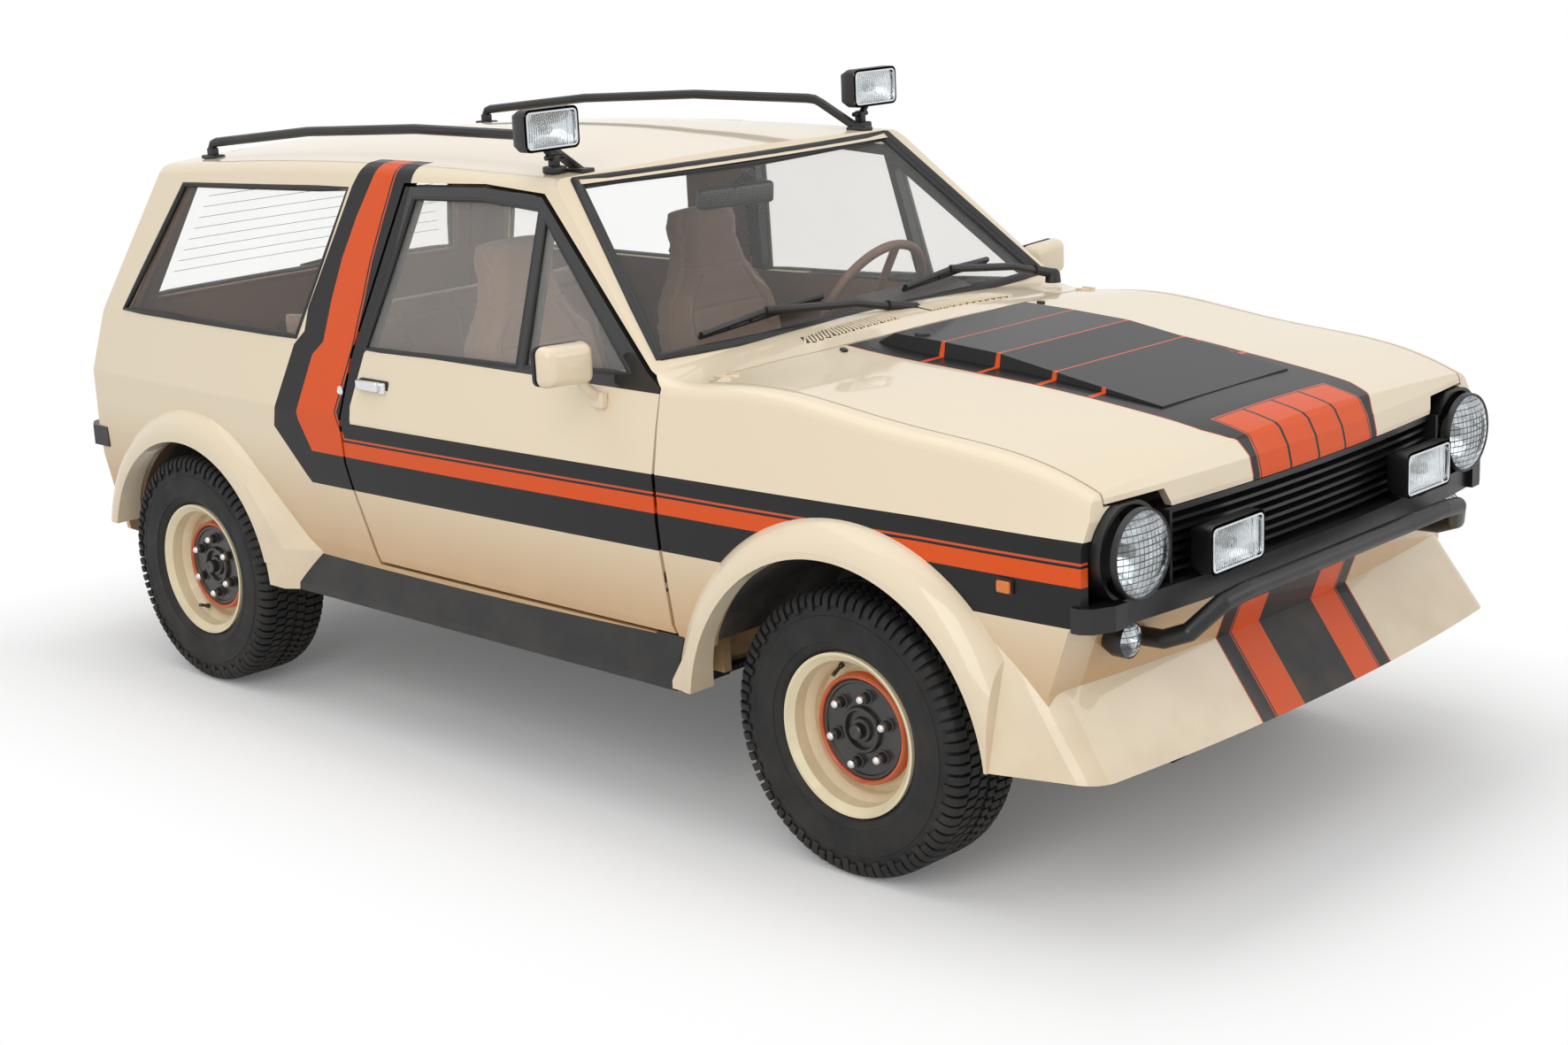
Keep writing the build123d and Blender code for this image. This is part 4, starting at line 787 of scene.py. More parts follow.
def stepFaces(shell, faces, thickness, depth):     # insets flat ends and carries them along Y
    bmesh.ops.inset_region(shell, faces=faces, thickness=thickness)
    bmesh.ops.translate(shell, verts=list({v for f in faces for v in f.verts}), vec=(0, depth, 0))


def boxLamp(name, place, width, height, depth):
    shell = frameBox(width, height, depth * 0.55, 0.016, 0)
    far = [f for f in shell.faces if f.calc_center_median().y > depth * 0.5 and len(f.verts) > 4]
    stepFaces(shell, far, 0.012, depth * 0.44)
    near = [f for f in shell.faces if f.calc_center_median().y < 0.0005 and len(f.verts) > 4]
    stepFaces(shell, near, 0.007, 0.026)
    bmesh.ops.recalc_face_normals(shell, faces=shell.faces)
    bezel = moved(frameBox(width - 0.012, height - 0.012, 0.006, 0.012, 0.004), (0, -0.001, 0))
    lens = moved(flutedLens(width - 0.018, height - 0.018, 0.25, 22), (0, 0.002, 0))
    bowl = frontGrid(16, 10)
    for v in bowl.verts:
        u, w = v.co.x * 2, v.co.z * 2
        v.co = (u / 2 * (width - 0.02), 0.0085 + 0.014 * (1 - u * u) * (1 - w * w), w / 2 * (height - 0.02))
    bulb = lathe([(0.0, 0.0), (-0.001, 0.009), (-0.008, 0.013), (-0.016, 0.014)], 20)
    bulb = moved(bulb, (0.0, 0.008, 0), toFront)
    for kind, shape, material in (("Housing_", shell, "blackTrim"), ("Bezel_", bezel, "chrome"),
                                  ("Lens_", lens, "lens"), ("Bowl_", bowl, "mirror"),
                                  ("Bulb_", bulb, "bulb")):
        yield newPiece(name[0] + kind + name[1], moved(shape, place), material)


def makeLamps():
    for side, tag in sides:
        x, y, z, radius = lamps["head"]
        heads = list(roundLamp(("headLamp", tag), side * x, y, z, radius, radius))
        x, y, z, radius = lamps["fog"]
        list(roundLamp(("fogLamp", tag), side * x, y, z, radius, radius))
        shell = lathe([(-0.004, 0.0355), (-0.030, 0.036), (-0.052, 0.026), (-0.070, 0.014), (-0.072, 0.0)],
                      40)
        newPiece("fogShell_" + tag, moved(shell, (side * x, y, z), toFront), "blackTrim")
        x, y, z, width, height = lamps["grille"]
        spots = list(boxLamp(("grilleLamp", tag), (side * x, y, z), width, height, 0.054))
        bracket = roundBox((side * x - 0.016, y + 0.012, 0.688), (side * x + 0.016, y + 0.034, z - 0.040),
                           0.003)
        newPiece("grilleLampFoot_" + tag, bracket, "blackTrim")
        x, y, z, width, height = lamps["roof"]
        list(boxLamp(("roofLamp", tag), (side * x, y, z), width, height, 0.056))
        foot = joinAll(roundBox((side * 0.510, -0.066, 1.400), (side * 0.552, -0.022, 1.418), 0.005),
                       roundBox((side * 0.522, -0.056, 1.412), (side * 0.540, -0.030, 1.446)),
                       sweep([(side * x, -0.043, z) for x,
                              z in ((0.530, 1.430), (0.545, 1.448), (0.556, 1.462))],
                             0.009),
                       sweep([(side * 0.505, -0.043, 1.438), (side * 0.556, -0.043, 1.438)], 0.006))
        newPiece("roofLampFoot_" + tag, foot, "blackTrim")
    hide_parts("headlamps")
    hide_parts("driving_lamps")


makeLamps()
print("lamps ready")


def glassLoops(node):                   # outline of each pane's outer face
    bm = bmesh.new()
    bm.from_mesh(nodes[node].data)
    bmesh.ops.remove_doubles(bm, verts=bm.verts, dist=1e-5)
    bm.faces.ensure_lookup_table()
    seen, loops = set(), []
    for start in bm.faces:
        if start.index in seen:
            continue
        island, queue = [], [start]
        seen.add(start.index)
        while queue:
            face = queue.pop()
            island.append(face)
            for edge in face.edges:
                for other in edge.link_faces:
                    if other.index not in seen:
                        seen.add(other.index)
                        queue.append(other)
        facing = Vector()
        for face in island:
            centre = face.calc_center_median() - Vector((0, 0.1, 0.9))
            if face.normal.dot(centre) > 0:
                facing += face.normal * face.calc_area()
        facing.normalize()
        outer = {f for f in island if f.normal.dot(facing) > 0.6}
        border = {e for f in outer for e in f.edges if sum(g in outer for g in e.link_faces) == 1}
        ends = {}
        for edge in border:
            for v in edge.verts:
                ends.setdefault(v, []).append(edge)
        left = set(border)
        loop = []
        # the longest chain of border edges. It isn't checked to be closed, and a set's order varies
        # from run to run, so its start does too
        while left:
            edge = left.pop()
            v = edge.verts[0]
            chain = []
            while edge:
                chain.append(v.co.copy())
                v = edge.other_vert(v)
                edge = next((e for e in ends[v] if e in left), None)
                left.discard(edge)
            if len(chain) > len(loop):
                loop = chain
        if len(loop) > 5:
            loops.append((loop, facing))
    bm.free()
    return loops


def spacedLoop(points, gap):            # leaves out points nearer to the last one than the gap
    kept = [points[0]]
    for place in points[1:]:
        if (place - kept[-1]).length > gap:
            kept.append(place)
    return kept


def sealAround(name, loop, facing, body, radius, lift):
    points = [p + facing * lift for p in spacedLoop(loop, 0.004)]
    bm = sweep(points, radius, closed=True, sides=2)
    return newPiece(name, bm, "rubber", body, "black_trim", 50)


def makeSeals():
    names = {"fixed_glass": ("root", 0.0135, 0.004), "tailgate_glass": ("tailgate", 0.011, 0.003),
             "door_glass_left": ("door_left", 0.0075, 0.004),
             "door_glass_right": ("door_right", 0.0075, 0.004)}
    for node, (body, radius, lift) in names.items():
        for number, (loop, facing) in enumerate(glassLoops(node)):
            size = radius if abs(facing.y) > 0.5 or body != "root" else 0.009
            sealAround(f"seal_{node}_{number}", loop, facing, body, size, lift)
            if facing.y < -0.5:         # the windscreen's wide inner lip
                middle = sum(loop, Vector()) / len(loop)
                lip = [p + (middle - p).normalized() * 0.015 for p in loop]
                sealAround("windscreenLip", lip, facing, body, 0.009, 0.001)


makeSeals()
print("seals ready")


seat = {"half": 0.222, "middle": 0.330, "voxel": 0.0075, "puff": 0.020, "pressure": 4.0}
backFront = [(0.500, 0.186), (0.560, 0.212), (1.000, 0.302), (1.130, 0.330), (1.214, 0.336)]
backRear = [(0.500, 0.294), (0.980, 0.364), (1.100, 0.390), (1.214, 0.396)]
backHalf = [(0.500, 0.215), (0.640, 0.222), (0.900, 0.222), (0.975, 0.205), (1.045, 0.150), (1.080, 0.134),
            (1.120, 0.126), (1.190, 0.120), (1.214, 0.108)]


def follow(points, value):              # straight lines between (value, result) points
    for (v0, r0), (v1, r1) in zip(points, points[1:]):
        if value <= v1:
            return r0 + (r1 - r0) * max(0.0, (value - v0) / (v1 - v0))
    return points[-1][1]


def cageBox(cuts):
    bm = bmesh.new()
    bmesh.ops.create_cube(bm, size=2.0)
    bmesh.ops.subdivide_edges(bm, edges=bm.edges[:], cuts=cuts, use_grid_fill=True)
    return bm


def puffUp(name, bm, voxel, pressure, cap):         # remesh, inflate and smooth a pad
    mesh = bpy.data.meshes.new(name)
    bm.to_mesh(mesh)
    bm.free()
    pad = bpy.data.objects.new(name, mesh)
    scene = bpy.context.scene
    scene.collection.objects.link(pad)
    remesh = pad.modifiers.new("remesh", "REMESH")
    remesh.mode = "VOXEL"
    remesh.voxel_size = voxel
    applyShape(pad)
    start = [v.co.copy() for v in pad.data.vertices]
    cloth = pad.modifiers.new("cloth", "CLOTH")
    cloth.settings.use_pressure = True
    cloth.settings.uniform_pressure_force = pressure
    cloth.settings.quality = 4
    cloth.settings.effector_weights.gravity = 0
    cloth.collision_settings.use_collision = False
    cloth.point_cache.frame_start, cloth.point_cache.frame_end = 1, 20
    for number in range(1, 21):
        scene.frame_set(number)
    applyShape(pad)
    scene.frame_set(1)
    for v, place in zip(pad.data.vertices, start):
        step = v.co - place
        if step.length > cap:
            v.co = place + step.normalized() * cap
    smooth = pad.modifiers.new("smooth", "SUBSURF")
    smooth.levels = smooth.render_levels = 1
    applyShape(pad)
    mesh = pad.data
    bpy.data.objects.remove(pad)
    return mesh


def applyShape(holder):
    graph = bpy.context.evaluated_depsgraph_get()
    shape = bpy.data.meshes.new_from_object(holder.evaluated_get(graph))
    holder.modifiers.clear()
    holder.data = shape


def grooves(mesh, depthAt):             # presses seams into a finished pad
    normals = [v.normal.copy() for v in mesh.vertices]
    for v, normal in zip(mesh.vertices, normals):
        depth = depthAt(v.co, normal)
        if depth:
            v.co -= normal * depth
    mesh.update()


def line(distance, width, depth):
    return depth * math.exp(-(distance / width) ** 2)


def seatBackShape():
    bm = cageBox(19)
    for v in bm.verts:
        across, deep, up = v.co
        z = 0.500 + (up + 1) / 2 * 0.714
        half = follow(backHalf, z) * (1 - 0.10 * max(0, abs(up) - 0.9) * 4)
        front, rear = follow(backFront, z), follow(backRear, z)
        bolster = 0.022 * math.exp(-((abs(across) - 0.86) / 0.16) ** 2) * (0.54 < z < 0.99)
        hollow = 0.012 * (1 - across * across) * (z < 0.98)
        edge = 0.018 * max(0.0, abs(across) - 0.75) * 4
        y = front - bolster + hollow + edge if deep < 0 else rear - edge * 0.8
        y = y if abs(deep) > 0.99 else front + (rear - front) * (deep + 1) / 2
        v.co = (across * half, y, z)
    return bm


def seatBackSeams(place, normal):
    x, y, z = abs(place.x), place.y, place.z
    depth = 0.0
    if normal.y < -0.25:
        inset = 0.140 if z < 0.93 else 0.140 - (z - 0.93) * 0.62
        if 0.52 < z < 1.03:
            depth += line(x - inset, 0.0038, 0.0065)
        if x < inset and z < 1.0:
            for height in (0.620, 0.940):
                depth += line(z - height, 0.0038, 0.0060)
        depth += line(z - 1.050, 0.0040, 0.0050) * (x < 0.16)
    if abs(normal.y) < 0.75:
        middle = (follow(backFront, z) + follow(backRear, z)) / 2
        depth += line(y - middle + 0.026, 0.0034, 0.0045) + line(y - middle - 0.030, 0.0034, 0.0045)
    return depth


def seatCushionShape():
    bm = cageBox(17)
    for v in bm.verts:
        across, along, up = v.co
        y = 0.018 + along * 0.206
        top = 0.560 + 0.012 * math.cos((along + 0.5) * 1.4) - 0.030 * max(0.0, -along - 0.7) * 3
        bolster = 0.020 * math.exp(-((abs(across) - 0.86) / 0.15) ** 2)
        z = 0.462 + (up + 1) / 2 * (top - 0.462) + (bolster if up > 0.9 else 0.0)
        v.co = (across * 0.220, y, z)
    return bm


def seatCushionSeams(place, normal):
    x, y = abs(place.x), place.y
    depth = 0.0
    if normal.z > 0.25:
        depth += line(x - 0.140, 0.0038, 0.0065) * (y > -0.16)
        if x < 0.140:
            for spot in (-0.105, 0.030, 0.160):
                depth += line(y - spot, 0.0038, 0.0058)
    if abs(normal.z) < 0.75:
        depth += line(place.z - 0.545, 0.0034, 0.0045) + line(place.z - 0.478, 0.0034, 0.0045)
    return depth


def rearSeatShape(part):
    bm = cageBox(23)
    for v in bm.verts:
        across, along, up = v.co
        if part == "base":
            y = 0.760 + along * 0.185
            top = 0.602 - 0.012 * along - 0.020 * max(0.0, -along - 0.7) * 3
            z = 0.482 + (up + 1) / 2 * (top - 0.482)
        else:
            z = 0.620 + (up + 1) / 2 * 0.368
            front = 0.962 + (z - 0.600) * 0.205
            rear = 1.062 + (z - 0.470) * 0.085
            y = front + (rear - 0.008 - front) * (along + 1) / 2
        v.co = (across * 0.545, y, z)
    return bm


def rearSeatSeams(part):
    def depthAt(place, normal):
        x, depth = abs(place.x), 0.0
        facing = normal.z if part == "base" else -normal.y
        if facing > 0.25:
            for spot in (0.0, 0.19, 0.36):
                depth += line(x - spot, 0.0055, 0.008)
            if part == "back":
                depth += line(place.z - 0.925, 0.0050, 0.007)
            else:
                depth += line(place.y - 0.640, 0.0050, 0.007)
        elif abs(facing) < 0.6:
            depth += line(place.z - (0.590 if part == "base" else 0.965), 0.0045, 0.004)
        return depth
    return depthAt


def clothPiece(name, mesh, move=(0, 0, 0)):
    shape = mesh.copy()
    shape.transform(Matrix.Translation(move))
    shape.materials.clear()
    shape.materials.append(mats["seat"])
    shape.shade_smooth()
    piece = bpy.data.objects.new(name, shape)
    bpy.context.scene.collection.objects.link(piece)
    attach(piece, "root")
    return piece


def makeSeats():
    back = puffUp("passing", seatBackShape(), seat["voxel"], seat["pressure"], seat["puff"])
    grooves(back, seatBackSeams)
    cushion = puffUp("passing", seatCushionShape(), seat["voxel"], seat["pressure"], 0.018)
    grooves(cushion, seatCushionSeams)
    for side, tag in sides:
        x = side * seat["middle"]
        clothPiece("seatBack_" + tag, back, (x, 0, 0))
        clothPiece("seatCushion_" + tag, cushion, (x, 0, 0))
        base = joinAll(roundBox((x - 0.168, -0.140, 0.334), (x + 0.168, 0.190, 0.360), 0.006),
                       *[roundBox((x + s * 0.150 - 0.014, -0.170, 0.352),
                                  (x + s * 0.150 + 0.014, 0.210, 0.462), 0.005)
                         for s in (-1, 1)])
        newPiece("seatRunners_" + tag, base, "dash")
        lever = joinAll(lathe([(0.0, 0.0), (0.0, 0.026), (0.018, 0.024), (0.022, 0.018), (0.022, 0.0)], 28),
                        roundBox((-0.030, -0.030, -0.030), (0.001, 0.030, 0.030), 0.006))
        lever = moved(lever, (x + side * 0.236, 0.245, 0.530), Matrix.Diagonal((side, 1, 1, 1)))
        newPiece("seatHinge_" + tag, lever, "brown")
    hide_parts("front_seats")
    for part in ("base", "back"):
        pad = puffUp("passing", rearSeatShape(part), 0.0105, seat["pressure"], 0.022)
        grooves(pad, rearSeatSeams(part))
        piece = clothPiece("rearSeat_" + part, pad)
        if part == "back":
            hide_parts("rear_seat")
    shell = bmesh.new()
    bmesh.ops.create_grid(shell, x_segments=1, y_segments=1, size=0.5)
    bmesh.ops.scale(shell, verts=shell.verts, vec=(1.08, 0.46, 1))
    bmesh.ops.rotate(shell, verts=shell.verts, cent=(0, 0, 0),
                     matrix=Matrix.Rotation(math.radians(85.5), 3, "X"))
    bmesh.ops.translate(shell, verts=shell.verts, vec=(0, 1.078, 0.730))
    bmesh.ops.solidify(shell, geom=shell.faces[:], thickness=0.008)
    bmesh.ops.recalc_face_normals(shell, faces=shell.faces)
    newPiece("rearSeatBoard", shell, "carpet")


makeSeats()
print("seats ready")


# the dashboard and what stands on the floor
dash = {"wheelX": 0.330, "face": -0.356, "dialFace": -0.3415,
        # x from the wheel, z, radius
        "dials": ((-0.085, 0.945, 0.040), (0.085, 0.945, 0.040), (0.0, 0.955, 0.022)),
        "vents": (-0.560, -0.060, 0.060, 0.570), "ventHeight": 0.935, "ventSize": (0.100, 0.052),
        "blades": 5, "radio": (0.090, 0.815, 0.865), "glove": (-0.380, 0.845), "lever": (-0.120, 0.446)}


def makeDials():
    x = dash["wheelX"]
    cowl = roundBox((x - 0.190, -0.440, 0.985), (x + 0.190, -0.338, 1.040), 0.018, 4)
    for v in cowl.verts:
        v.co.z -= max(0.0, -0.38 - v.co.y) * 0.5
    newPiece("dialCowl", cowl, "dash")
    newPiece("dialPanel", roundBox((x - 0.172, -0.352, 0.900), (x + 0.172, -0.343, 0.990), 0.003),
             "glossBlack")
    faces, rings, needles = bmesh.new(), bmesh.new(), bmesh.new()
    front = dash["dialFace"]
    for offset, height, radius in dash["dials"]:
        dial = lathe([(0.0, 0.0), (0.0, radius * 0.93), (0.003, radius), (-0.004, radius), (-0.006, 0.0)],
                     40)
        mergeIn(faces, moved(dial, (x + offset, front, height), turned("Z", 90)))
        around = [t * math.tau / 28 for t in range(28)]
        edge = radius + 0.001
        ring = [(x + offset + edge * math.cos(t), front + 0.001, height + edge * math.sin(t))
                for t in around]
        mergeIn(rings, sweep(ring, 0.0018, closed=True, sides=1))
        tip = (x + offset - edge * 0.55, -0.339, height - edge * 0.45)
        mergeIn(needles, sweep([(x + offset, -0.339, height), tip], 0.0011, sides=1))
    newPiece("dialFaces", faces, "dash")
    newPiece("dialRings", rings, "chrome")
    newPiece("dialNeedles", needles, "orange")


def makeDash():
    face = dash["face"]
    vents = bmesh.new()
    for centre in dash["vents"]:
        mergeIn(vents, moved(frameBox(*dash["ventSize"], 0.012, 0.006, 0.004),
                             (centre, face, dash["ventHeight"])))
        for blade in range(dash["blades"]):
            low = 0.917 + blade * 0.0082
            mergeIn(vents, roundBox((centre - 0.045, -0.354, low), (centre + 0.045, -0.346, low + 0.0022),
                                    0.0006, 1))
    newPiece("airVents", vents, "blackTrim")
    half, low, high = dash["radio"]
    knobs = [moved(lathe([(0.0, 0.0), (0.0, 0.010), (0.016, 0.009), (0.018, 0.007), (0.018, 0.0)], 20),
                   (s * 0.072, -0.346, 0.840), turned("Z", 90)) for s in (-1, 1)]
    newPiece("blankRadio", joinAll(roundBox((-half, -0.362, low), (half, -0.345, high), 0.003), *knobs),
             "glossBlack")
    levers = bmesh.new()
    for row in range(3):
        level, knob = 0.880 + row * 0.010, -0.040 + 0.035 * row
        mergeIn(levers, sweep([(-0.070, -0.352, level), (0.070, -0.352, level)], 0.0018, sides=1))
        mergeIn(levers, roundBox((knob - 0.006, -0.360, level - 0.004),
                                 (knob + 0.006, -0.340, level + 0.004), 0.001, 1))
    newPiece("heaterLevers", levers, "brown")
    x, z = dash["glove"]
    latch = roundBox((x - 0.020, -0.358, z + 0.017), (x + 0.020, -0.346, z + 0.033), 0.003)
    newPiece("gloveLid", joinAll(moved(frameBox(0.340, 0.130, 0.010, 0.010, 0), (x, -0.362, z)), latch),
             "dash")
    x = dash["wheelX"]
    stalks = [sweep([(x + s * 0.030, -0.295, 0.962), (x + s * 0.110, -0.300, 0.975),
                     (x + s * 0.150, -0.305, 0.990)],
                    0.006) for s in (1, -1)]
    newPiece("columnStalks", joinAll(*stalks), "blackTrim")


def makeLevers():
    y, z = dash["lever"]
    newPiece("tunnelMat", roundBox((-0.085, -0.330, 0.4305), (0.085, 0.080, 0.447), 0.006), "carpet")
    boot = lathe([(0.0, 0.052), (0.016, 0.048), (0.020, 0.040), (0.034, 0.036), (0.038, 0.028),
                  (0.054, 0.024), (0.060, 0.012), (0.110, 0.007), (0.110, 0.0)], 28)
    knob = lathe([(0.100, 0.0), (0.102, 0.012), (0.116, 0.021), (0.132, 0.020), (0.142, 0.010),
                  (0.144, 0.0)], 28)
    newPiece("gearLever", joinAll(*[moved(shape, (0, y, z), upward) for shape in (boot, knob)]), "dash")
    brake = joinAll(sweep([(0.0, 0.150, 0.452), (0.0, 0.040, 0.480), (0.0, -0.030, 0.505)], 0.010),
                    sweep([(0.0, 0.030, 0.484), (0.0, -0.036, 0.508)], 0.016))
    newPiece("handBrake", brake, "dash")


cabinMirror = {"root": (0.0, -0.150, 1.352), "centre": (0.012, -0.086, 1.288), "turn": (-12, 6)}


def makeMirrorInside():
    root = cabinMirror["root"]
    stalk = sweep([root, (0.0, -0.128, 1.338), (0.0, -0.095, 1.312), (0.0, -0.088, 1.296)], 0.007,
                  smooth=True)
    foot = moved(lathe([(0.0, 0.0), (0.0, 0.020), (0.008, 0.016), (0.008, 0.0)], 24), root, turned("Y", 120))
    turn = turned("Z", cabinMirror["turn"][0]) @ turned("X", cabinMirror["turn"][1])
    case = moved(roundBox((-0.110, -0.014, -0.027), (0.110, 0.014, 0.027), 0.011, 4), cabinMirror["centre"],
                 turn)
    glass = moved(roundBox((-0.102, 0.0135, -0.020), (0.102, 0.0160, 0.020), 0.001, 1),
                  cabinMirror["centre"], turn)
    newPiece("cabinMirrorCase", joinAll(stalk, foot, case), "blackTrim")
    newPiece("cabinMirrorGlass", glass, "chrome", finish="lamp_glass")


def makeVisors():
    for side, tag in sides:
        board = roundBox((-0.165, -0.060, -0.007), (0.165, 0.060, 0.007), 0.0065, 4)
        newPiece("sunVisor_" + tag, moved(board, (side * 0.330, 0.030, 1.352), turned("X", -6)), "brown")


def makeFloorMats():
    for side, tag in sides:
        mat = roundBox((side * 0.130, -0.520, 0.3305), (side * 0.560, -0.170, 0.342), 0.005, 2)
        newPiece("floorMat_" + tag, mat, "carpet")
    newPiece("bootCarpet", roundBox((-0.540, 1.130, 0.4705), (0.540, 1.640, 0.480), 0.004, 2), "carpet")


makeDials()
makeDash()
makeLevers()
makeMirrorInside()
makeVisors()
makeFloorMats()
print("cabin ready")


# handles, mirrors, wipers and rails on the body
# lays a shape made flat on X-Y, facing +Z, on a CAD surface
def placedOn(node, start, direction, shape):
    place, normal = onSurface(node, start, direction)
    return moved(shape, place, normal.to_track_quat("Z", "Y").to_matrix().to_4x4())


handle = {"y": 0.4225, "z": 0.888, "lockPlace": (0.5500, 0.866)}


def makeHandles():
    y, z = handle["y"], handle["z"]
    for side, tag in sides:
        door = "door_" + tag
        x = onSurface(door, (side * outside, y, z), (-side, 0, 0))[0].x
        outward = turned("Z", side * 90)
        cup = moved(frameBox(0.112, 0.036, 0.008, 0.008, 0), (x + side * 0.002, y, z - 0.001), outward)
        newPiece("handleCup_" + tag, cup, "rubber", door)
        flap = moved(roundBox((-0.050, -0.016, -0.011), (0.034, 0.000, 0.013), 0.004), (0, -0.004, 0.002))
        end = roundBox((0.030, -0.012, -0.014), (0.052, 0.0, 0.014), 0.004)
        newPiece("doorHandle_" + tag, moved(joinAll(flap, end), (x, y, z), outward), "chrome", door)
        lock = lathe([(-0.002, 0.0115), (0.003, 0.0115), (0.0045, 0.009), (0.0030, 0.0075), (0.0030, 0.0)],
                     28)
        place = onSurface("side_panels", (side * outside, *handle["lockPlace"]), (-side, 0, 0))[0]
        newPiece("keyLock_" + tag, moved(lock, place, turned("Z", 0 if side > 0 else 180)), "chrome")


doorMirror = {"centre": (0.842, -0.394, 1.038), "half": (0.072, 0.046), "rise": 0.05, "armY": -0.3875,
              "arm": ((0.800, 1.006), (0.790, 0.984), (0.764, 0.962), (0.744, 0.948))}       # x and z


def makeMirrors():
    wide, tall = doorMirror["half"]
    y = doorMirror["armY"]
    for side, tag in sides:
        door = "door_" + tag
        shell = roundBox((-wide, -0.028, -tall), (wide, 0.026, tall), 0.020, 5)
        for v in shell.verts:
            narrow = 1 - 0.16 * max(0.0, -v.co.y / 0.028)
            v.co.x, v.co.z = v.co.x * narrow, v.co.z * narrow + v.co.x * side * doorMirror["rise"]
        edge = moved(frameBox(0.140, 0.088, 0.008, 0.016, 0.006), (0, 0.022, 0))
        glass = moved(frameBox(0.128, 0.076, 0.002, 0.014, 0), (0, 0.0255, 0))
        for shape in (edge, glass):
            for v in shape.verts:
                v.co.z += v.co.x * side * doorMirror["rise"]
        x, *rest = doorMirror["centre"]
        centre = (side * x, *rest)
        newPiece("mirrorShell_" + tag, moved(shell, centre), "plain", door)
        newPiece("mirrorEdge_" + tag, moved(edge, centre), "rubber", door)
        newPiece("mirrorGlass_" + tag, moved(glass, centre), "chrome", door, "lamp_glass")
        arm = sweep([(side * x, y, z) for x, z in doorMirror["arm"]], 0.0125, smooth=True)
        foot = roundBox((side * 0.735, y - 0.021, 0.926), (side * 0.757, y + 0.021, 0.961), 0.006)
        newPiece("mirrorArm_" + tag, joinAll(arm, foot), "plain", door)
        newPiece("mirrorCollar_" + tag, sweep([(side * 0.801, y, 1.008), (side * 0.797, y, 0.996)], 0.0155),
                 "rubber", door)
        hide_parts("door_mirror_" + tag)


# each wiper's pivot and the two ends of its blade
wiper = {"left": ((0.598, -0.6095, 1.035), (0.130, -0.4555, 1.045), (0.489, -0.5565, 1.060)),
         "right": ((0.060, -0.6115, 1.030), (-0.543, -0.4525, 1.035), (-0.143, -0.5505, 1.062))}


def makeWipers():
    for tag, (pivot, *ends) in wiper.items():
        pivot = Vector(pivot)
        low, high = (onSurface("fixed_glass", Vector(end) + Vector((0, -0.3, 0.02)), (0, 1, 0))[0]
                     + Vector((0, -0.010, 0.006)) for end in ends)
        lift = Vector((0, -0.016, 0.018))
        middle = low.lerp(high, 0.5) + lift
        blade = sweep([low.lerp(high, t / 8) for t in range(9)], 0.0060, sides=2)
        spine = sweep([low.lerp(high, t / 8) + lift * (0.35 + 0.55 * (1 - abs(t / 4 - 1)))
                       for t in range(9)], 0.0075,
                      sides=2)
        claws = bmesh.new()
        for t in (0.03, 0.22, 0.40, 0.60, 0.78, 0.97):
            spot = low.lerp(high, t)
            mergeIn(claws, sweep([spot, spot + lift * (0.45 + 0.5 * (1 - abs(t * 2 - 1)))], 0.006, sides=2))
        elbow = pivot.lerp(middle, 0.42) + Vector((0, -0.006, 0.022))
        arm = sweep([pivot + Vector((0, 0, 0.014)), elbow, middle], 0.0095, sides=2)
        cap = moved(lathe([(0.0, 0.020), (0.022, 0.018), (0.030, 0.014), (0.034, 0.008), (0.034, 0.0)], 28),
                    pivot - Vector((0, 0, 0.006)), upward)
        neck = sweep([pivot + Vector((0, 0, 0.016)), pivot.lerp(elbow, 0.45) + Vector((0, 0, 0.010))],
                     0.0125)
        newPiece("wiper_" + tag, joinAll(blade, spine, claws, arm, cap, neck), "blackTrim")
    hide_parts("wipers")


def makeLouvres():
    kinds = {"scuttleRibs": (26, 0.062, 0.0115, (0.0026, 0.026, 0.0042), 0.0012, "plain"),
             # the scuttleSlotShade strips are dark rubber under the cream ribs: painted shade in the slots
             # between them
             "scuttleSlotShade": (12, 0.068, 0.0245, (0.0128, 0.024, 0.0012), 0.0006, "rubber")}
    for name, (count, first, pitch, (wide, long, high), soft, material) in kinds.items():
        rows = bmesh.new()
        for side in (-1, 1):
            for number in range(count):
                start = (side * (first + number * pitch), -0.642, above)
                bar = roundBox((-wide, -long, -0.002), (wide, long, high), soft, 1)
                mergeIn(rows, placedOn("scuttle_panel", start, (0, 0, -1), bar))
        newPiece(name, rows, material)


marker = (-1.514, 0.707)                # y and z


def makeMarkers():
    for side, tag in sides:
        x = onSurface("front_wings", (side * outside, *marker), (-side, 0, 0))[0].x
        outward = turned("Z", side * 90)
        base = moved(frameBox(0.040, 0.032, 0.006, 0.005, 0), (x + side * 0.003, *marker), outward)
        newPiece("markerBase_" + tag, base, "rubber")
        lens = roundBox((-0.016, -0.010, -0.012), (0.016, 0.0, 0.012), 0.004)
        newPiece("markerLens_" + tag, moved(lens, (x + side * 0.002, *marker), outward), "amber")


rail = {"x": 0.485, "feet": (-0.080, 1.418), "radius": 0.0125, "flat": 0.9,
        "line": [(-0.0875, 1.400), (0.052, 1.468), (0.072, 1.476), (0.100, 1.4785), (0.5225, 1.480),
                 (0.9725, 1.459), (1.396, 1.4165), (1.412, 1.412), (1.420, 1.398)]}      # y and z


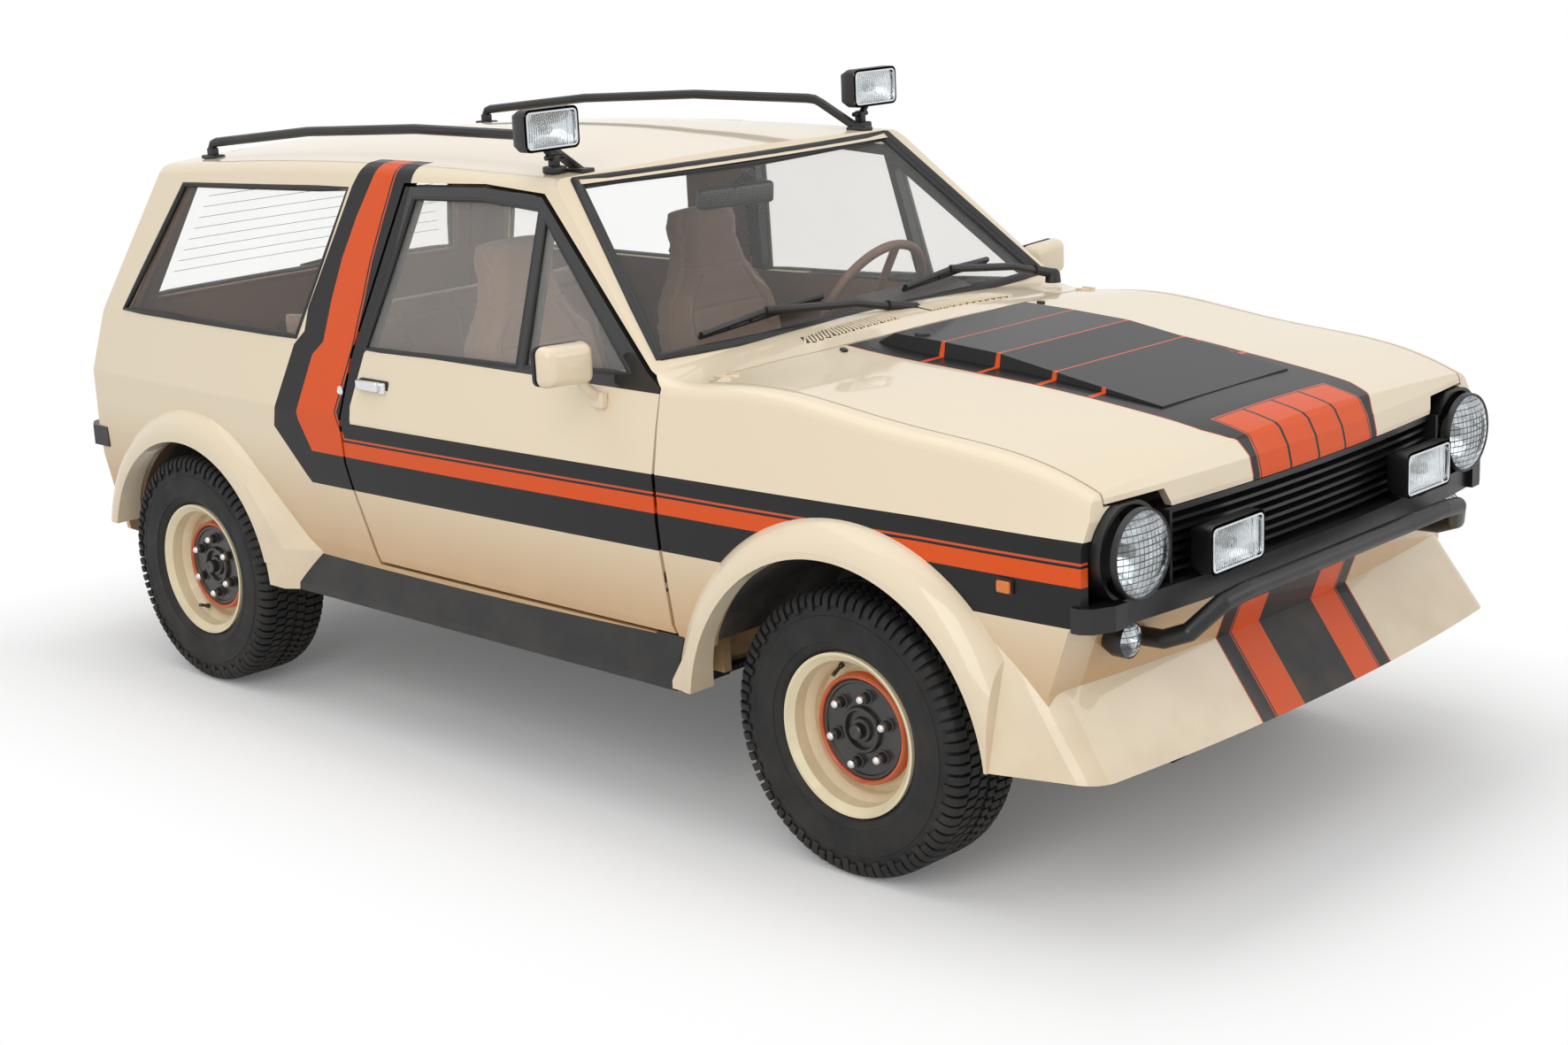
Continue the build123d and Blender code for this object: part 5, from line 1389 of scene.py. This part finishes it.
# bars a little flattened, each on two feet, with a bend near each end
def makeRails():
    for side, tag in sides:
        x = side * rail["x"]
        tube = sweep([(x, y, z) for y, z in rail["line"]], rail["radius"], sides=2)
        bmesh.ops.scale(tube, verts=tube.verts, vec=(rail["flat"], 1, 1),
                        space=Matrix.Translation((-x, 0, 0)))
        feet = bmesh.new()
        for y in rail["feet"]:
            z = onSurface("roof_panel", (x, y, above + 0.3), (0, 0, -1))[0].z
            mergeIn(feet, roundBox((x - 0.020, y - 0.030, z - 0.002), (x + 0.020, y + 0.030, z + 0.009)))
            mergeIn(feet, roundBox((x - 0.011, y - 0.014, z + 0.002),
                                   (x + 0.011, y + 0.014, follow(rail["line"], y))))
        newPiece("roofRail_" + tag, joinAll(tube, feet), "blackTrim")
    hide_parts("roof_rails")


def makeBonnetCap():
    cap = lathe([(-0.003, 0.0175), (0.002, 0.0175), (0.0045, 0.0155), (0.0055, 0.0100), (0.0060, 0.0)], 32)
    cap = placedOn("bonnet", (-0.205, -0.862, above), (0, 0, -1), moved(cap, turn=upward))
    newPiece("bonnetCap", cap, "rubber", "bonnet")
    washers = bmesh.new()
    for side in (-1, 1):
        jet = roundBox((-0.007, -0.010, 0.0), (0.007, 0.010, 0.007), 0.003)
        mergeIn(washers, placedOn("bonnet", (side * 0.352, -0.760, above), (0, 0, -1), jet))
    newPiece("washerJets", washers, "blackTrim", "bonnet")


makeHandles()
makeMirrors()
makeWipers()
makeLouvres()
makeMarkers()
makeRails()
makeBonnetCap()
print("fittings ready")


def tailPoint(node, x, z):
    return onSurface(node, (x, behind, z), (0, -1, 0))[0]


def makeTail():
    for side, tag in sides:
        x = side * 0.669
        y = tailPoint("tail_lamps", x, 0.762).y
        rows = [("amber", 0.822, 0.040), ("red", 0.772, 0.044), ("white", 0.727, 0.030),
                ("red", 0.692, 0.028)]
        for number, (material, z, tall) in enumerate(rows):
            lens = flutedLens(0.098, tall, 0.12, 16)
            lens = moved(lens, (x, y + 0.001, z), toRear)
            newPiece(f"tailLens_{tag}_{number}", lens, material, "root", "tail_lens")
        frame = frameBox(0.114, 0.182, 0.008, 0.010, 0.006)
        newPiece("tailFrame_" + tag, moved(frame, (x, y + 0.004, 0.762), toRear), "rubber")
    y = tailPoint("tailgate", 0.0, 0.800).y
    plate = moved(frameBox(0.500, 0.105, 0.004, 0.006, 0), (0, y + 0.007, 0.770), toRear)
    holder = moved(frameBox(0.512, 0.118, 0.005, 0.008, 0), (0, y + 0.003, 0.770), toRear)
    newPiece("blankPlate", plate, "white", "tailgate")
    newPiece("plateHolder", holder, "blackTrim", "tailgate")
    lamp = joinAll(*[roundBox((x - 0.030, y - 0.004, 0.838), (x + 0.030, y + 0.018, 0.856), 0.005)
                     for x in (-0.11, 0.11)])
    newPiece("plateLamps", lamp, "blackTrim", "tailgate")
    y = tailPoint("tailgate", 0.0, 0.905).y
    latch = joinAll(roundBox((-0.060, y - 0.002, 0.890), (0.060, y + 0.010, 0.920), 0.004),
                    moved(lathe([(0.0, 0.016), (0.012, 0.015), (0.014, 0.010), (0.010, 0.008), (0.010, 0.0)],
                                28),
                          (0.0, y + 0.008, 0.905), turned("Z", 90)))
    newPiece("tailgateLatch", latch, "chrome", "tailgate")
    pivot = tailPoint("tailgate", -0.120, 0.955)
    tip = tailPoint("tailgate_glass", 0.300, 1.010)
    arm = joinAll(moved(lathe([(-0.004, 0.018), (0.020, 0.016), (0.024, 0.010), (0.024, 0.0)], 28), pivot,
                        turned("Z", 90)),
                  sweep([pivot + Vector((0, 0.020, 0)), pivot.lerp(tip, 0.5) + Vector((0, 0.026, 0.006)),
                         tip + Vector((0, 0.020, 0.0))], 0.0055, sides=2),
                  sweep([pivot.lerp(tip, 0.30) + Vector((0, 0.012, 0.014)),
                         tip + Vector((0.10, 0.010, 0.014))], 0.0055,
                        sides=2))
    newPiece("rearWiper", arm, "blackTrim", "tailgate")
    wires = bmesh.new()
    for row in range(9):
        z = 1.040 + row * 0.030
        points = []
        for step in range(13):
            x = (step / 6 - 1) * (0.480 - row * 0.012)
            points.append(onSurface("tailgate_glass", (x, 0.8, z), (0, 1, 0))[0] - Vector((0, 0.0008, 0)))
        mergeIn(wires, sweep(points, 0.0007, sides=0))
    newPiece("demisterLines", wires, "brown", "tailgate")
    pipe = sweep([(-0.400, 1.690, 0.388), (-0.400, 1.768, 0.386)], 0.024, sides=4)
    newPiece("tailPipe", pipe, "exhaust")


makeTail()
print("tail ready")


def makeDoorCards():
    for side, tag in sides:
        door = "door_" + tag
        x = onSurface(door, (0.0, 0.100, 0.700), (side, 0, 0))[0].x
        rest = roundBox((x, -0.020, 0.700), (x - side * 0.050, 0.300, 0.736), 0.012, 4)
        pocket = roundBox((x, -0.260, 0.470), (x - side * 0.026, 0.330, 0.560), 0.010, 4)
        newPiece("armRest_" + tag, joinAll(rest, pocket), "brown", door)
        crank = joinAll(moved(lathe([(0.0, 0.020), (0.012, 0.018), (0.016, 0.010), (0.016, 0.0)], 28),
                              (x, -0.100, 0.660), turned("Z", 180 if side > 0 else 0)),
                        sweep([(x - side * 0.016, -0.100, 0.660), (x - side * 0.024, -0.030, 0.640)], 0.006),
                        sweep([(x - side * 0.020, -0.030, 0.640), (x - side * 0.052, -0.030, 0.640)], 0.011))
        newPiece("windowCrank_" + tag, crank, "blackTrim", door)
        pull = joinAll(frameBox(0.090, 0.034, 0.010, 0.008, 0.004),
                       roundBox((-0.030, -0.004, -0.008), (0.034, 0.006, 0.008), 0.003))
        pull = moved(pull, (x - side * 0.008, 0.130, 0.800), turned("Z", -side * 90))
        newPiece("doorPull_" + tag, pull, "chrome", door)


makeDoorCards()
print("door cards ready")


def makeEngineBay():
    cover = roundBox((-0.190, -1.300, 0.800), (0.190, -1.150, 0.842), 0.014, 4)
    ribs = [roundBox((x - 0.004, -1.285, 0.838), (x + 0.004, -1.165, 0.848), 0.002, 1) for x in
            [-0.15 + 0.03 * n for n in range(11)]]
    newPiece("camCover", joinAll(cover, *ribs), "engine")
    cleaner = lathe([(0.0, 0.0), (0.0, 0.122), (0.006, 0.128), (0.048, 0.128), (0.056, 0.120),
                     (0.060, 0.040), (0.064, 0.036), (0.064, 0.0)], 56)
    wingNut = lathe([(0.062, 0.0), (0.062, 0.012), (0.074, 0.009), (0.074, 0.0)], 16)
    snout = sweep([(0.10, -1.06, 0.872), (0.18, -1.10, 0.872), (0.24, -1.20, 0.868), (0.26, -1.30, 0.862)],
                  0.030, smooth=True)
    newPiece("airCleaner", joinAll(moved(joinAll(cleaner, wingNut), (0, -1.060, 0.842), upward), snout),
             "blackTrim")
    battery = joinAll(roundBox((-0.520, -1.250, 0.660), (-0.330, -1.110, 0.835), 0.006),
                      *[moved(lathe([(0.0, 0.0), (0.0, 0.010), (0.016, 0.009), (0.016, 0.0)], 20),
                              (x, -1.18, 0.834), upward)
                        for x in (-0.49, -0.36)])
    newPiece("battery", battery, "blackTrim")
    tray = joinAll(roundBox((-0.540, -1.270, 0.645), (-0.310, -1.090, 0.662), 0.004),
                   roundBox((-0.440, -1.200, 0.420), (-0.410, -1.160, 0.650), 0.004))
    newPiece("batteryTray", tray, "underbody")
    core = joinAll(roundBox((-0.300, -1.600, 0.470), (0.300, -1.560, 0.800), 0.006),
                   roundBox((-0.310, -1.605, 0.796), (0.310, -1.555, 0.830), 0.010),
                   *[roundBox((-0.295, -1.603, 0.480 + n * 0.014), (0.295, -1.598, 0.484 + n * 0.014), 0.001,
                              1)
                     for n in range(22)])
    newPiece("radiator", core, "underbody")
    hoses = (((0.22, -1.575, 0.818), (0.22, -1.50, 0.838), (0.18, -1.40, 0.842), (0.16, -1.30, 0.812)),
             ((-0.25, -1.575, 0.52), (-0.25, -1.50, 0.52), (-0.20, -1.42, 0.56)))
    newPiece("coolantHoses", joinAll(*[sweep(hose, 0.018, smooth=True) for hose in hoses]), "rubber")
    bottles = joinAll(roundBox((0.380, -1.420, 0.700), (0.500, -1.300, 0.850), 0.020, 4),
                      moved(lathe([(0.0, 0.020), (0.018, 0.020), (0.020, 0.0)], 24), (0.44, -1.36, 0.848),
                            upward))
    newPiece("washerBottle", bottles, "white")
    leads = bmesh.new()
    for n in range(4):
        x = -0.12 + n * 0.08
        lead = [(x, -1.290, 0.836), (x, -1.33, 0.860), (0.20 - n * 0.01, -1.37, 0.800), (0.26, -1.36, 0.720)]
        mergeIn(leads, sweep(lead, 0.0042, smooth=True, sides=2))
    newPiece("plugLeads", leads, "rubber")


makeEngineBay()
print("engine bay ready")


studio = {"floor": colour(250, 250, 250), "sky": 0.62, "key": 128.0, "fill": 62.0, "top": 215.0,
          "half": (0.90, 1.85), "fade": (-0.05, 0.6)}


def softLight(name, place, target, size, power):
    data = bpy.data.lights.new(name, "AREA")
    data.shape = "RECTANGLE"
    data.size, data.size_y = size
    data.energy = power
    lamp = bpy.data.objects.new(name, data)
    aim = Vector(target) - Vector(place)
    lamp.matrix_world = Matrix.Translation(place) @ aim.to_track_quat("-Z", "Y").to_matrix().to_4x4()
    bpy.context.scene.collection.objects.link(lamp)


def seenRays(tree):                     # rays that reach the camera straight, mirrored or through glass
    path = addNode(tree, "ShaderNodeLightPath")
    return anyOf(tree, *[path.outputs[f"Is {kind} Ray"] for kind in ("Camera", "Glossy", "Transmission")])


def makeStudio():
    world = bpy.data.worlds.new("studio")
    world.use_nodes = True
    tree = world.node_tree
    background = tree.nodes["Background"]
    background.inputs[0].default_value = (1, 1, 1, 1)
    feed(tree, background.inputs[1], mixValue(tree, seenRays(tree), studio["sky"], 1.0))
    bpy.context.scene.world = world
    softLight("topSoftbox", (-1.0, 1.5, 8.5), (0, 0, 0), (8.0, 8.0), studio["top"])
    softLight("keySoftbox", (-5.5, -3.0, 3.6), (0, 0, 0.7), (3.0, 4.5), studio["key"])
    softLight("fillSoftbox", (3.0, -6.0, 3.0), (0, 0, 0.6), (4.0, 3.0), studio["fill"])
    bm = bmesh.new()
    bmesh.ops.create_grid(bm, x_segments=2, y_segments=2, size=60.0)
    mesh = bpy.data.meshes.new("floor")
    bm.to_mesh(mesh)
    bm.free()
    material, tree, sockets = newMaterial("floorPaint", Roughness=0.9, Specular_IOR_Level=0.0)
    x, y = (calc(tree, "MAXIMUM", 0.0, calc(tree, "SUBTRACT", calc(tree, "ABSOLUTE", value), half))
            for value, half in zip(objectPoint(tree)[1:3], studio["half"]))
    far = calc(tree, "SQRT", calc(tree, "ADD", calc(tree, "MULTIPLY", x, x), calc(tree, "MULTIPLY", y, y)))
    fade = ramp(tree, far, studio["fade"][0], studio["fade"][1])
    feed(tree, sockets["Base Color"], mixColour(tree, fade, studio["floor"], (0, 0, 0, 1)))
    glow = mixValue(tree, seenRays(tree), studio["sky"], 1.0)
    feed(tree, sockets["Emission Strength"], calc(tree, "MULTIPLY", fade, glow))
    sockets["Emission Color"].default_value = (1, 1, 1, 1)
    mesh.materials.append(material)
    floor = bpy.data.objects.new("floor", mesh)
    bpy.context.scene.collection.objects.link(floor)


makeStudio()
bpy.context.scene.view_settings.view_transform = "Standard"
print("studio ready")
